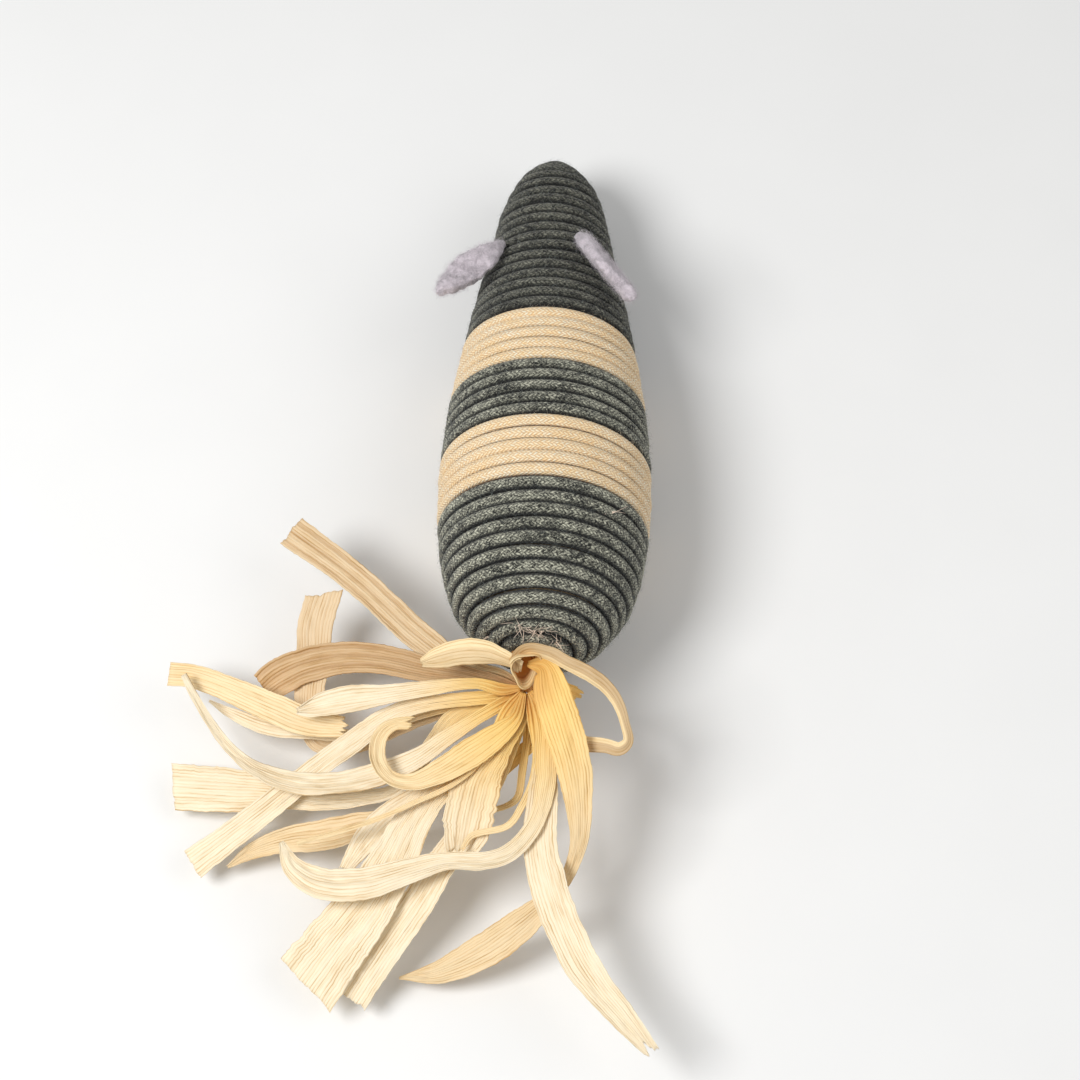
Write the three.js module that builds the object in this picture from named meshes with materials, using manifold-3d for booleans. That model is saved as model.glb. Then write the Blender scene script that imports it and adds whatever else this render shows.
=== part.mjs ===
// A catnip mouse: a tapered body wound with braided cord in five bands, two felt ears and a tuft of
// corn husk tied on as its tail. Millimetres, +Z up, nose towards +Y, resting on its belly at z = 0.
import * as THREE from "three";
import { mergeVertices } from "three/addons/utils/BufferGeometryUtils.js";
import Module from "manifold-3d";

const { degToRad } = THREE.MathUtils;
const wasm = await Module();
wasm.setup();

// Overall sizes
const bodyLength = 103.7;
const bodyWidth = 35.6;
const noseDown = degToRad(5);
const tuftReach = 69.5;
const seatGap = 0.3;

// Cord: the turns of each band, from the nose to the tail, and the gap that a turn keeps to the next;
// at its ends a band runs straight for a share of the cord's width
const turnsAlongBody = 47;
const bandTurns = { nose_cord: 18.5, front_cream_cord: 5, middle_grey_cord: 5, rear_cream_cord: 5 };
const firstTurn = 1.2;
const endTuck = degToRad(50);
const turnGap = 0.5;
const turnSteps = 16;
const straightShare = 1.5;
const cordSides = 5;
const bellyCutShare = 0.1;

// Core: two shells with a spigot between them, and the socket that holds the lashed husk roots
const coreWall = 1.5;
const coreSplit = 52;
const spigotLength = 4;
const coreFacets = 24;
const socketWall = 1.3;
const socketDepth = 9;
const rootWidth = 6.2;
const bindingThread = 0.5;
const socketBore = rootWidth + 2 * bindingThread + 4 * seatGap;

// Filling: a pouch of catnip in front and a rattle capsule behind it
const pouchStart = 14;
const capsuleWidth = 14;
const capsuleWall = 1;
const capsuleLength = 22;
const capWall = 1.2;
const capLip = 3;
const ballPlay = 0.4;
const cradleWall = 1.4;
const cradleDepth = 6;
const cradleHole = 6;
const smallFacets = 20;

// Felt ears
const earLength = 17;
const earWidth = 7.4;
const earRootWidth = 2.2;
const feltThickness = 1.3;
const earStation = 25.5;
const earGap = 0.9;

// Husk tail
const pivotBall = 5.6;
const pivotBeyondPole = -0.6;
const knotWidth = 7.2;
const knotAcross = -1.4;
const knotBeyondPole = 4.6;
const knotHeight = 20.6;
const huskThickness = 0.3;
const layerPitch = 0.65;
const topLayer = 12;
const tieBand = 3.4;

// The tuft lies in parallel layers that slope down behind the body and to its left
const slopeBack = degToRad(15);
const slopeLeft = degToRad(10);

// The direction that the tuft's routes are measured in: from above and behind, with a slight lean
const lookDown = degToRad(62);
const lookLean = degToRad(1.85);

// Outline of the wound body: shares of its length from the nose, and of its greatest radius
const girthShares = [
  [0, 0],
  [0.024, 0.23],
  [0.095, 0.47],
  [0.206, 0.61],
  [0.345, 0.77],
  [0.5, 0.92],
  [0.655, 1],
  [0.794, 0.97],
  [0.905, 0.8],
  [0.976, 0.45],
  [1, 0],
];

const felt = new THREE.MeshStandardMaterial({ color: 0xc8bec8, roughness: 0.95, metalness: 0 });
const greyCord = new THREE.MeshStandardMaterial({ color: 0x4b5250, roughness: 0.85, metalness: 0 });
const creamCord = new THREE.MeshStandardMaterial({ color: 0xebd7b2, roughness: 0.85, metalness: 0 });
const husk = new THREE.MeshStandardMaterial({ color: 0xf0d8a0, roughness: 0.7, metalness: 0 });
const coreShell = new THREE.MeshStandardMaterial({ color: 0xb9a98a, roughness: 0.8, metalness: 0 });
const pouchCloth = new THREE.MeshStandardMaterial({ color: 0xd8d2c0, roughness: 0.9, metalness: 0 });
const capsulePlastic = new THREE.MeshStandardMaterial({ color: 0xf2f2f2, roughness: 0.4, metalness: 0 });
const ballPlastic = new THREE.MeshStandardMaterial({ color: 0xd05a3a, roughness: 0.4, metalness: 0 });

// Body outline as a curve in (radius, distance from the nose)
const outline = new THREE.CatmullRomCurve3(
  girthShares.map(
    ([along, girth]) => new THREE.Vector3((girth * bodyWidth) / 2, along * bodyLength, 0),
  ),
  false,
  "centripetal",
);
outline.arcLengthDivisions = 1000;

// The cord's middle runs half its width under the outline, on a line that is shorter by pi times that
const turnPitch =
  (outline.getLength() + (Math.PI * turnGap) / 2) / (turnsAlongBody + Math.PI / 2);
const cordWidth = turnPitch - turnGap;
const facetShare = Math.cos(Math.PI / turnSteps);

// A point that lies a given depth under the wound surface, at a share of the outline's length
function underSurface(share, depth) {
  const at = outline.getPointAt(share);
  const along = outline.getTangentAt(share);
  return new THREE.Vector2(at.x - along.y * depth, at.y + along.x * depth);
}

// The outline at a depth under the wound surface, between two distances from the nose
function outlineUnder(depth, from, to, count) {
  const fine = 400;
  const all = [];
  for (let i = 0; i <= fine; i += 1) {
    const at = underSurface(i / fine, depth);
    const last = all[all.length - 1];
    if (at.x > 0 && (!last || at.y > last.y)) all.push(at);
  }
  const radiusAt = (distance) => {
    const next = Math.max(1, all.findIndex((at) => at.y >= distance));
    const a = all[next - 1];
    const b = all[next];
    return a.x + ((b.x - a.x) * (distance - a.y)) / (b.y - a.y);
  };
  const start = Math.max(from, all[0].y);
  const end = Math.min(to, all[all.length - 1].y);
  const points = [];
  for (let i = 0; i <= count; i += 1) {
    const distance = start + ((end - start) * (1 - Math.cos((Math.PI * i) / count))) / 2;
    points.push(new THREE.Vector2(radiusAt(distance) * facetShare, distance));
  }
  return points;
}

function solidOf(geometry) {
  const bare = geometry.index ? geometry.toNonIndexed() : geometry.clone();
  bare.deleteAttribute("normal");
  bare.deleteAttribute("uv");
  const merged = mergeVertices(bare, 1e-4);
  return new wasm.Manifold(
    new wasm.Mesh({
      numProp: 3,
      vertProperties: merged.attributes.position.array,
      triVerts: new Uint32Array(merged.index.array),
    }),
  );
}

function geometryOf(solid) {
  const mesh = solid.getMesh();
  const geometry = new THREE.BufferGeometry();
  geometry.setAttribute("position", new THREE.BufferAttribute(mesh.vertProperties, 3));
  geometry.setIndex(new THREE.BufferAttribute(mesh.triVerts, 1));
  geometry.computeVertexNormals();
  return geometry;
}

function named(name, geometry, material) {
  const mesh = new THREE.Mesh(geometry, material);
  mesh.name = name;
  return mesh;
}

function turned(name, points, facets, material) {
  const profile = points.map(([radius, distance]) => new THREE.Vector2(radius, distance));
  return named(name, new THREE.LatheGeometry(profile, facets), material);
}

// One unbroken tube round a list of stations, each with its place, its heading and its outward side
function tubeAlong(stations, radius) {
  const positions = [];
  const index = [];
  for (const { place, out, ahead } of stations) {
    const side = new THREE.Vector3().crossVectors(ahead, out);
    for (let k = 0; k < cordSides; k += 1) {
      const angle = (2 * Math.PI * k) / cordSides;
      const at = place
        .clone()
        .addScaledVector(out, radius * Math.cos(angle))
        .addScaledVector(side, radius * Math.sin(angle));
      positions.push(at.x, at.y, at.z);
    }
  }
  const last = (stations.length - 1) * cordSides;
  for (let ring = 0; ring < last; ring += cordSides) {
    for (let k = 0; k < cordSides; k += 1) {
      const next = (k + 1) % cordSides;
      const [a, b, c, d] = [ring + k, ring + next, ring + cordSides + next, ring + cordSides + k];
      index.push(a, b, c, a, c, d);
    }
  }
  for (let k = 1; k < cordSides - 1; k += 1) {
    index.push(0, k + 1, k);
    index.push(last, last + k, last + k + 1);
  }
  const geometry = new THREE.BufferGeometry();
  geometry.setAttribute("position", new THREE.Float32BufferAttribute(positions, 3));
  geometry.setIndex(index);
  return geometry;
}

// The last turn leaves room for the husk roots and for the end that tucks in beside them
const lastTurn = turnsAlongBody - (socketBore / 2 + 2 * cordWidth) / turnPitch;

// The line that the cord's middle follows from pole to pole
const linePoints = 60;
const windingLine = new THREE.CatmullRomCurve3(
  Array.from({ length: linePoints + 1 }, (_, i) => underSurface(i / linePoints, cordWidth / 2))
    .filter((at) => at.x > 0)
    .map((at) => new THREE.Vector3(at.x, at.y, 0)),
);
windingLine.arcLengthDivisions = 1000;

// A place on the winding, counted in turns from the nose; the belly comes in the middle of a step
function windingAt(turn) {
  const centre = windingLine.getPointAt(turn / turnsAlongBody);
  const slope = windingLine.getTangentAt(turn / turnsAlongBody);
  const angle = 2 * Math.PI * (turn + 1 / (2 * turnSteps));
  const across = Math.sin(angle);
  const up = Math.cos(angle);
  const place = new THREE.Vector3(centre.x * across, centre.y, -centre.x * up);
  const out = new THREE.Vector3(slope.y * across, -slope.x, -slope.y * up);
  const tailward = new THREE.Vector3(slope.x * across, slope.y, -slope.x * up);
  const ahead = new THREE.Vector3(up, 0, across);
  return { place, out, ahead, tailward };
}

function movedAlong(station, reach) {
  return { ...station, place: station.place.clone().addScaledVector(station.ahead, reach) };
}

// An end that leaves the spiral and runs straight, inwards to the pole, for one cord width
function tuckedEnd(station, towardsTail) {
  const sign = towardsTail ? 1 : -1;
  const ahead = station.ahead
    .clone()
    .multiplyScalar(Math.cos(endTuck))
    .addScaledVector(station.tailward, Math.sin(endTuck));
  return movedAlong({ ...station, ahead }, sign * cordWidth);
}

// The stations of one band: it meets its neighbours end to end, straight for one cord width
function bandStations(from, to) {
  const stations = [];
  const start = windingAt(from);
  if (from === firstTurn) stations.push(tuckedEnd(start, false), start);
  else stations.push(movedAlong(start, seatGap / 2), movedAlong(start, cordWidth));
  const straightTurn = (straightShare * cordWidth) / (Math.PI * bodyWidth);
  const first = Math.ceil((from + straightTurn) * turnSteps);
  const last = Math.floor((to - straightTurn) * turnSteps);
  for (let step = first; step <= last; step += 1) stations.push(windingAt(step / turnSteps));
  const end = windingAt(to);
  if (to === lastTurn) stations.push(end, tuckedEnd(end, true));
  else stations.push(movedAlong(end, -cordWidth), movedAlong(end, -seatGap / 2));
  return stations;
}

// The least gap between points of a tube that are half a turn or more apart along it
function leastGap(stations) {
  let least = Infinity;
  for (let i = 0; i < stations.length; i += 1)
    for (let j = i + turnSteps / 2; j < stations.length; j += 1)
      least = Math.min(least, stations[i].place.distanceTo(stations[j].place) - cordWidth);
  return least;
}

const bands = [];
let bandStart = firstTurn;
let bandEnd = 0;
for (const [name, turns] of Object.entries(bandTurns)) {
  bandEnd += turns;
  bands.push({ name, from: bandStart, to: bandEnd });
  bandStart = bandEnd;
}
bands.push({ name: "rear_cord", from: bandStart, to: lastTurn });

// The body leans nose down until its belly rests on the floor, cut flat a tenth of the cord deep
const bodyTurn = new THREE.Euler(Math.PI - noseDown, 0, 0);
let belly = new THREE.Vector3(0, 0, Infinity);
for (const band of bands) {
  band.stations = bandStations(band.from, band.to);
  band.geometry = tubeAlong(band.stations, cordWidth / 2);
  const spots = band.geometry.attributes.position;
  for (let i = 0; i < spots.count; i += 1) {
    const spot = new THREE.Vector3().fromBufferAttribute(spots, i).applyEuler(bodyTurn);
    if (spot.z < belly.z) belly = spot;
  }
}
const body = new THREE.Group();
body.rotation.copy(bodyTurn);
body.position.set(0, -belly.y, -belly.z - cordWidth * bellyCutShare);
body.updateMatrixWorld(true);

const slab = new THREE.BoxGeometry(2 * bodyWidth, 2 * bodyLength, bodyWidth);
slab.translate(0, 0, -bodyWidth / 2);
slab.applyMatrix4(body.matrixWorld.clone().invert());
const floor = solidOf(slab);

for (const { name, stations, geometry } of bands) {
  const material = name.includes("cream") ? creamCord : greyCord;
  const wound = solidOf(geometry).subtract(floor);
  body.add(named(name, geometryOf(wound), material));
  console.log(`${name}: least gap to itself ${leastGap(stations).toFixed(2)} mm`);
}

// Core shells
const coreDepth = cordWidth + seatGap;
const innerDepth = coreDepth + coreWall;
const noseOutside = outlineUnder(coreDepth, 0, coreSplit, 12);
const noseInside = outlineUnder(innerDepth, 0, coreSplit, 10);
const splitOuter = noseOutside[noseOutside.length - 1].x;
const splitInner = noseInside[noseInside.length - 1].x;
const lipMiddle = (splitOuter + splitInner) / 2;
body.add(
  turned(
    "core_nose_shell",
    [
      [0, noseOutside[0].y],
      ...noseOutside.map((at) => [at.x, at.y]),
      [lipMiddle - seatGap / 2, coreSplit],
      [lipMiddle - seatGap / 2, coreSplit + spigotLength],
      [splitInner, coreSplit + spigotLength],
      ...noseInside.map((at) => [at.x, at.y]).reverse(),
      [0, noseInside[0].y],
    ],
    coreFacets,
    coreShell,
  ),
);

const rearStart = coreSplit + seatGap;
const tailEnd = bodyLength - cordWidth;
const rearOutside = outlineUnder(coreDepth, rearStart, tailEnd, 12).filter(
  (at) => at.x > socketBore / 2 + socketWall,
);
const socketEnd = rearOutside[rearOutside.length - 1].y;
const socketStart = socketEnd - socketDepth;
const capsuleStart = coreSplit + spigotLength + seatGap;
const capsuleEnd = capsuleStart + capsuleLength;
const cradleFloor = capsuleEnd + seatGap;
const cradleBore = capsuleWidth / 2 + seatGap;
const rearInside = outlineUnder(innerDepth, coreSplit + spigotLength + seatGap, socketStart, 10);
const frontOfCradle = rearInside.filter((at) => at.y < cradleFloor);
const behindCradle = rearInside.filter(
  (at) => at.y > cradleFloor + cradleWall && at.x > socketBore / 2 + socketWall,
);
const wallAt = (list, end) => list[end].x;
body.add(
  turned(
    "core_rear_shell",
    [
      [lipMiddle + seatGap / 2, rearStart],
      ...rearOutside.map((at) => [at.x, at.y]),
      [socketBore / 2, socketEnd],
      [socketBore / 2, socketStart],
      [socketBore / 2 + socketWall, socketStart],
      ...behindCradle.map((at) => [at.x, at.y]).reverse(),
      [wallAt(behindCradle, 0), cradleFloor + cradleWall],
      [cradleHole / 2, cradleFloor + cradleWall],
      [cradleHole / 2, cradleFloor],
      [cradleBore, cradleFloor],
      [cradleBore, cradleFloor - cradleDepth],
      [cradleBore + cradleWall, cradleFloor - cradleDepth],
      [cradleBore + cradleWall, cradleFloor],
      [wallAt(frontOfCradle, frontOfCradle.length - 1), cradleFloor],
      ...frontOfCradle.map((at) => [at.x, at.y]).reverse(),
      [lipMiddle + seatGap / 2, frontOfCradle[0].y],
      [lipMiddle + seatGap / 2, rearStart],
    ],
    coreFacets,
    coreShell,
  ),
);

// Catnip pouch, which fills the front of the core up to the capsule
const pouchOutline = outlineUnder(innerDepth + seatGap, pouchStart, coreSplit, 8);
const pouchEnd = capsuleStart - seatGap;
body.add(
  turned(
    "catnip_pouch",
    [
      [0, pouchOutline[0].y],
      ...pouchOutline.map((at) => [at.x, at.y]),
      [capsuleWidth / 2, pouchEnd],
      [0, pouchEnd],
    ],
    smallFacets,
    pouchCloth,
  ),
);

// Rattle capsule: a cup, a cap with a lip inside it, and the ball
const cupInside = capsuleWidth / 2 - capsuleWall;
const cupEnd = capsuleStart + capWall + seatGap;
const lipOutside = cupInside - seatGap;
const lipInside = lipOutside - capsuleWall;
body.add(
  turned(
    "rattle_capsule_body",
    [
      [0, capsuleEnd - capsuleWall],
      [cupInside, capsuleEnd - capsuleWall],
      [cupInside, cupEnd],
      [capsuleWidth / 2, cupEnd],
      [capsuleWidth / 2, capsuleEnd],
      [0, capsuleEnd],
    ],
    smallFacets,
    capsulePlastic,
  ),
);
body.add(
  turned(
    "rattle_capsule_cap",
    [
      [0, capsuleStart],
      [capsuleWidth / 2, capsuleStart],
      [capsuleWidth / 2, capsuleStart + capWall],
      [lipOutside, capsuleStart + capWall],
      [lipOutside, capsuleStart + capWall + capLip],
      [lipInside, capsuleStart + capWall + capLip],
      [lipInside, capsuleStart + capWall],
      [0, capsuleStart + capWall],
    ],
    smallFacets,
    capsulePlastic,
  ),
);
const ballWidth = 2 * (cupInside - ballPlay);
const ball = named("rattle_ball", new THREE.SphereGeometry(ballWidth / 2, smallFacets, 12), ballPlastic);
ball.position.y = capsuleStart + capWall + capLip + seatGap + ballWidth / 2;
body.add(ball);

// Husk roots in the socket, lashed with a ring of thread
const rootEnd = bodyLength + pivotBeyondPole - pivotBall / 2 - seatGap;
body.add(
  turned(
    "tail_root",
    [
      [0, socketStart],
      [rootWidth / 2, socketStart],
      [rootWidth / 2, rootEnd],
      [0, rootEnd],
    ],
    smallFacets,
    husk,
  ),
);
const threadInside = rootWidth / 2 + seatGap;
const threadOutside = socketBore / 2 - seatGap;
body.add(
  turned(
    "tail_binding",
    [
      [threadInside, socketStart],
      [threadOutside, socketStart],
      [threadOutside, socketEnd],
      [threadInside, socketEnd],
      [threadInside, socketStart],
    ],
    smallFacets,
    creamCord,
  ),
);

// Ears: pointed leaves of felt, each standing on the cord by its narrow root
const earPlaces = {
  ear_left: { round: degToRad(-45), sweep: degToRad(-24), rise: degToRad(28), twist: degToRad(-45) },
  ear_right: { round: degToRad(22), sweep: degToRad(14), rise: degToRad(20), twist: degToRad(-36) },
};

function earShape() {
  const half = earWidth / 2;
  const rootHalf = earRootWidth / 2;
  const shape = new THREE.Shape();
  shape.moveTo(0, -rootHalf);
  shape.quadraticCurveTo(earLength / 2, -2 * half + rootHalf, earLength, 0);
  shape.quadraticCurveTo(earLength / 2, 2 * half - rootHalf, 0, rootHalf);
  shape.closePath();
  return shape;
}

const earShare = (() => {
  const fine = 400;
  for (let i = 0; i <= fine; i += 1)
    if (outline.getPointAt(i / fine).y >= earStation) return i / fine;
  return 1;
})();

function earMesh(name, { round, sweep, rise, twist }) {
  const surface = underSurface(earShare, -earGap);
  const slope = outline.getTangentAt(earShare);
  const across = Math.sin(round);
  const up = Math.cos(round);
  const outward = new THREE.Vector3(slope.y * across, -slope.x, -slope.y * up);
  const tailward = new THREE.Vector3(slope.x * across, slope.y, -slope.x * up);
  const sideways = new THREE.Vector3(up, 0, across);
  const reach = tailward
    .multiplyScalar(Math.cos(sweep))
    .addScaledVector(sideways, Math.sin(sweep))
    .multiplyScalar(Math.cos(rise))
    .addScaledVector(outward, Math.sin(rise));
  const face = outward.addScaledVector(reach, -outward.dot(reach)).normalize();
  face.applyAxisAngle(reach, twist);
  const width = new THREE.Vector3().crossVectors(face, reach);
  const geometry = new THREE.ExtrudeGeometry(earShape(), {
    depth: feltThickness,
    bevelEnabled: false,
    curveSegments: 6,
  });
  geometry.translate(0, 0, -feltThickness / 2);
  const mesh = named(name, geometry, felt);
  mesh.quaternion.setFromRotationMatrix(new THREE.Matrix4().makeBasis(reach, width, face));
  mesh.position.set(surface.x * across, surface.y, -surface.x * up);
  mesh.position.addScaledVector(reach, feltThickness / 2);
  return mesh;
}
for (const [name, place] of Object.entries(earPlaces)) body.add(earMesh(name, place));

// The tail's two frames: the pivot ball at the pole, and the knot that the strips fan out from
const pole = body.localToWorld(new THREE.Vector3(0, bodyLength, 0));
const pivot = body.localToWorld(new THREE.Vector3(0, bodyLength + pivotBeyondPole, 0));
const tuft = new THREE.Group();
tuft.position.set(knotAcross, pole.y - knotBeyondPole, knotHeight);
tuft.rotation.set(slopeBack, -slopeLeft, 0);
tuft.updateMatrixWorld(true);

// Knot: a rounded drum at the tuft's middle, joined to the pivot ball by a stem
const layersHigh = topLayer * layerPitch;
const drum = new THREE.CylinderGeometry(knotWidth / 2, knotWidth / 2, layersHigh, smallFacets);
drum.rotateX(Math.PI / 2);
const pivotInTuft = tuft.worldToLocal(pivot.clone());
const stem = new THREE.ExtrudeGeometry(
  new THREE.Shape(new THREE.EllipseCurve(0, 0, rootWidth / 2, rootWidth / 2).getPoints(12)),
  { extrudePath: new THREE.LineCurve3(pivotInTuft, new THREE.Vector3()), steps: 1 },
);
const pivotSphere = new THREE.SphereGeometry(pivotBall / 2, 14, 9);
pivotSphere.translate(pivotInTuft.x, pivotInTuft.y, pivotInTuft.z);
const neck = solidOf(drum).add(solidOf(stem)).add(solidOf(pivotSphere));
tuft.add(named("husk_neck", geometryOf(neck), husk));

// Where a spot seen so far right of the knot, and so far below it, lies on one layer of the tuft
const lookRight = new THREE.Vector3(1, 0, 0);
const lookUp = new THREE.Vector3(0, Math.sin(lookDown), Math.cos(lookDown));
const layerAxes = [0, 1, 2].map((k) => new THREE.Vector3().setFromMatrixColumn(tuft.matrixWorld, k));
function onLayer(right, away, height) {
  const sideways = right * Math.cos(lookLean) + away * Math.sin(lookLean);
  const upwards = right * Math.sin(lookLean) - away * Math.cos(lookLean);
  const u = sideways - height * layerAxes[2].dot(lookRight);
  const v = upwards - height * layerAxes[2].dot(lookUp);
  const a = layerAxes[0].dot(lookRight);
  const b = layerAxes[1].dot(lookRight);
  const c = layerAxes[0].dot(lookUp);
  const d = layerAxes[1].dot(lookUp);
  const whole = a * d - b * c;
  return new THREE.Vector2((u * d - v * b) / whole, (v * a - u * c) / whole);
}

// Strips: the layer that each lies in, and its route as shares of the tuft's reach, each spot being
// how far right of the knot, how far below it as seen from above and behind, and how wide
const huskRouteShares = {
  husk_pleated_left: [0, [
    [-0.065, -0.03, 0.018], [-0.125, -0.04, 0.045], [-0.185, -0.065, 0.06], [-0.275, -0.13, 0.07],
    [-0.415, -0.255, 0.07], [-0.575, -0.37, 0.08],
  ]],
  husk_upright_left: [1, [
    [-0.065, 0.012, 0.016], [-0.25, 0.07, 0.035], [-0.42, 0.135, 0.045], [-0.5, 0.13, 0.045],
    [-0.53, 0.05, 0.06], [-0.535, -0.05, 0.075], [-0.535, -0.15, 0.085], [-0.505, -0.23, 0.05],
  ]],
  husk_stub_right: [1, [[0.07, -0.004, 0.03], [0.085, 0.006, 0.04], [0.11, 0.018, 0.045]]],
  husk_grey_arch: [2, [
    [-0.065, -0.012, 0.02], [-0.15, -0.03, 0.035], [-0.25, -0.035, 0.05], [-0.345, -0.06, 0.065],
    [-0.44, -0.07, 0.07], [-0.535, -0.05, 0.08], [-0.6, -0.018, 0.07], [-0.63, 0.006, 0.05],
  ]],
  husk_small_point: [2, [
    [0.012, 0.07, 0.015], [0.007, 0.12, 0.03], [-0.035, 0.16, 0.035], [-0.085, 0.225, 0.003],
  ]],
  husk_golden_left: [3, [
    [-0.065, 0.02, 0.016], [-0.2, 0.045, 0.025], [-0.31, 0.075, 0.03], [-0.405, 0.11, 0.03],
    [-0.5, 0.105, 0.035], [-0.62, 0.095, 0.035], [-0.7, 0.065, 0.025], [-0.76, 0.035, 0.004],
  ]],
  husk_thin_brown: [3, [
    [-0.004, 0.07, 0.01], [-0.007, 0.115, 0.018], [-0.017, 0.185, 0.018], [-0.03, 0.25, 0.016],
    [-0.06, 0.27, 0.012], [-0.1, 0.28, 0.012],
  ]],
  husk_broad_left: [4, [
    [-0.06, 0.03, 0.014], [-0.11, 0.035, 0.03], [-0.18, 0.07, 0.045], [-0.225, 0.125, 0.04],
    [-0.27, 0.195, 0.03], [-0.325, 0.24, 0.03], [-0.405, 0.255, 0.04], [-0.485, 0.26, 0.05],
    [-0.59, 0.245, 0.08], [-0.71, 0.24, 0.105], [-0.84, 0.235, 0.11],
  ]],
  husk_right_fold: [4, [
    [0.065, 0.02, 0.025], [0.075, 0.07, 0.055], [0.1, 0.14, 0.07], [0.11, 0.21, 0.06],
    [0.115, 0.29, 0.05], [0.11, 0.35, 0.04], [0.085, 0.42, 0.03], [0.035, 0.485, 0.05],
    [-0.04, 0.555, 0.08], [-0.12, 0.615, 0.08], [-0.215, 0.665, 0.05], [-0.3, 0.685, 0.004],
  ]],
  husk_brown_left: [5, [
    [-0.045, 0.055, 0.016], [-0.13, 0.155, 0.02], [-0.215, 0.245, 0.03], [-0.32, 0.295, 0.045],
    [-0.405, 0.32, 0.07], [-0.485, 0.34, 0.075], [-0.56, 0.35, 0.06], [-0.64, 0.375, 0.04],
    [-0.705, 0.415, 0.006],
  ]],
  husk_long_diagonal: [6, [
    [-0.065, 0.014, 0.016], [-0.24, 0.035, 0.035], [-0.32, 0.06, 0.045], [-0.415, 0.125, 0.06],
    [-0.51, 0.195, 0.055], [-0.59, 0.26, 0.06], [-0.685, 0.335, 0.065], [-0.785, 0.41, 0.075],
  ]],
  husk_short_under: [6, [
    [-0.04, 0.055, 0.014], [-0.15, 0.18, 0.03], [-0.27, 0.25, 0.05], [-0.345, 0.305, 0.06],
    [-0.39, 0.36, 0.055], [-0.43, 0.42, 0.03],
  ]],
  husk_lower_crossing: [7, [
    [-0.02, 0.065, 0.018], [-0.085, 0.21, 0.05], [-0.145, 0.315, 0.06], [-0.2, 0.395, 0.075],
    [-0.25, 0.48, 0.08], [-0.32, 0.585, 0.075], [-0.405, 0.73, 0.07],
  ]],
  husk_leaf_left: [8, [
    [-0.065, 0, 0.016], [-0.12, -0.014, 0.025], [-0.23, -0.004, 0.035], [-0.32, 0.01, 0.045],
    [-0.425, 0.025, 0.065], [-0.5, 0.04, 0.05], [-0.54, 0.05, 0.015],
  ]],
  husk_broad_pale: [8, [
    [-0.045, 0.05, 0.018], [-0.085, 0.11, 0.04], [-0.165, 0.185, 0.06], [-0.22, 0.235, 0.075],
    [-0.27, 0.305, 0.09], [-0.31, 0.385, 0.1], [-0.37, 0.49, 0.12], [-0.44, 0.585, 0.14],
    [-0.51, 0.69, 0.15],
  ]],
  husk_ribbed_curl: [9, [
    [-0.02, 0.065, 0.02], [-0.06, 0.125, 0.05], [-0.12, 0.2, 0.1], [-0.145, 0.27, 0.11],
    [-0.16, 0.33, 0.09], [-0.175, 0.37, 0.05],
  ]],
  husk_lower_right: [9, [
    [0.025, 0.06, 0.02], [0.035, 0.15, 0.05], [0.03, 0.25, 0.07], [0.025, 0.34, 0.08],
    [0.045, 0.435, 0.09], [0.08, 0.53, 0.085], [0.12, 0.61, 0.08], [0.16, 0.665, 0.07],
    [0.2, 0.71, 0.06], [0.235, 0.75, 0.05], [0.27, 0.79, 0.035],
  ]],
  husk_thin_stalk: [10, [
    [-0.05, 0.045, 0.008], [-0.12, 0.17, 0.01], [-0.185, 0.22, 0.012], [-0.26, 0.255, 0.012],
    [-0.34, 0.29, 0.012], [-0.445, 0.325, 0.012], [-0.535, 0.35, 0.008],
  ]],
  husk_thin_golden: [10, [
    [0.01, 0.07, 0.01], [0.014, 0.14, 0.014], [0.005, 0.21, 0.016], [-0.017, 0.26, 0.016],
    [-0.05, 0.305, 0.016], [-0.135, 0.33, 0.014], [-0.155, 0.36, 0.01],
  ]],
  husk_c_curve: [11, [
    [0.045, 0.045, 0.02], [0.045, 0.125, 0.05], [0.04, 0.21, 0.045], [0.015, 0.29, 0.04],
    [-0.04, 0.36, 0.04], [-0.11, 0.385, 0.04], [-0.19, 0.385, 0.04], [-0.275, 0.405, 0.055],
    [-0.38, 0.435, 0.06], [-0.475, 0.44, 0.055], [-0.54, 0.405, 0.035], [-0.57, 0.345, 0.01],
  ]],
  husk_left_curl: [11, [
    [-0.03, 0.06, 0.02], [-0.06, 0.09, 0.05], [-0.13, 0.14, 0.07], [-0.205, 0.185, 0.06],
    [-0.27, 0.21, 0.04], [-0.32, 0.2, 0.035], [-0.35, 0.155, 0.035], [-0.345, 0.105, 0.035],
    [-0.315, 0.08, 0.03], [-0.275, 0.075, 0.03],
  ]],
};

// The longest strip runs out in one layer, folds over at its far end and comes back in a lower one
const foldedLayers = [7, 5];
const foldedOutShares = [
  [-0.06, 0.03, 0.014], [-0.12, 0.065, 0.03], [-0.19, 0.11, 0.04], [-0.27, 0.165, 0.05],
  [-0.36, 0.2, 0.055], [-0.45, 0.22, 0.045], [-0.545, 0.22, 0.04], [-0.625, 0.195, 0.035],
  [-0.69, 0.15, 0.025], [-0.745, 0.085, 0.02], [-0.785, 0.025, 0.018], [-0.815, -0.03, 0.014],
];
const foldedBackShares = [
  [-0.855, -0.03, 0.055], [-0.8, -0.025, 0.055], [-0.72, 0, 0.06], [-0.66, 0.025, 0.065],
  [-0.6, 0.05, 0.07], [-0.52, 0.08, 0.065], [-0.43, 0.09, 0.05],
];
const foldShares = [[-0.83, -0.025, 0.03], [-0.8, -0.025, 0.03]];

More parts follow.
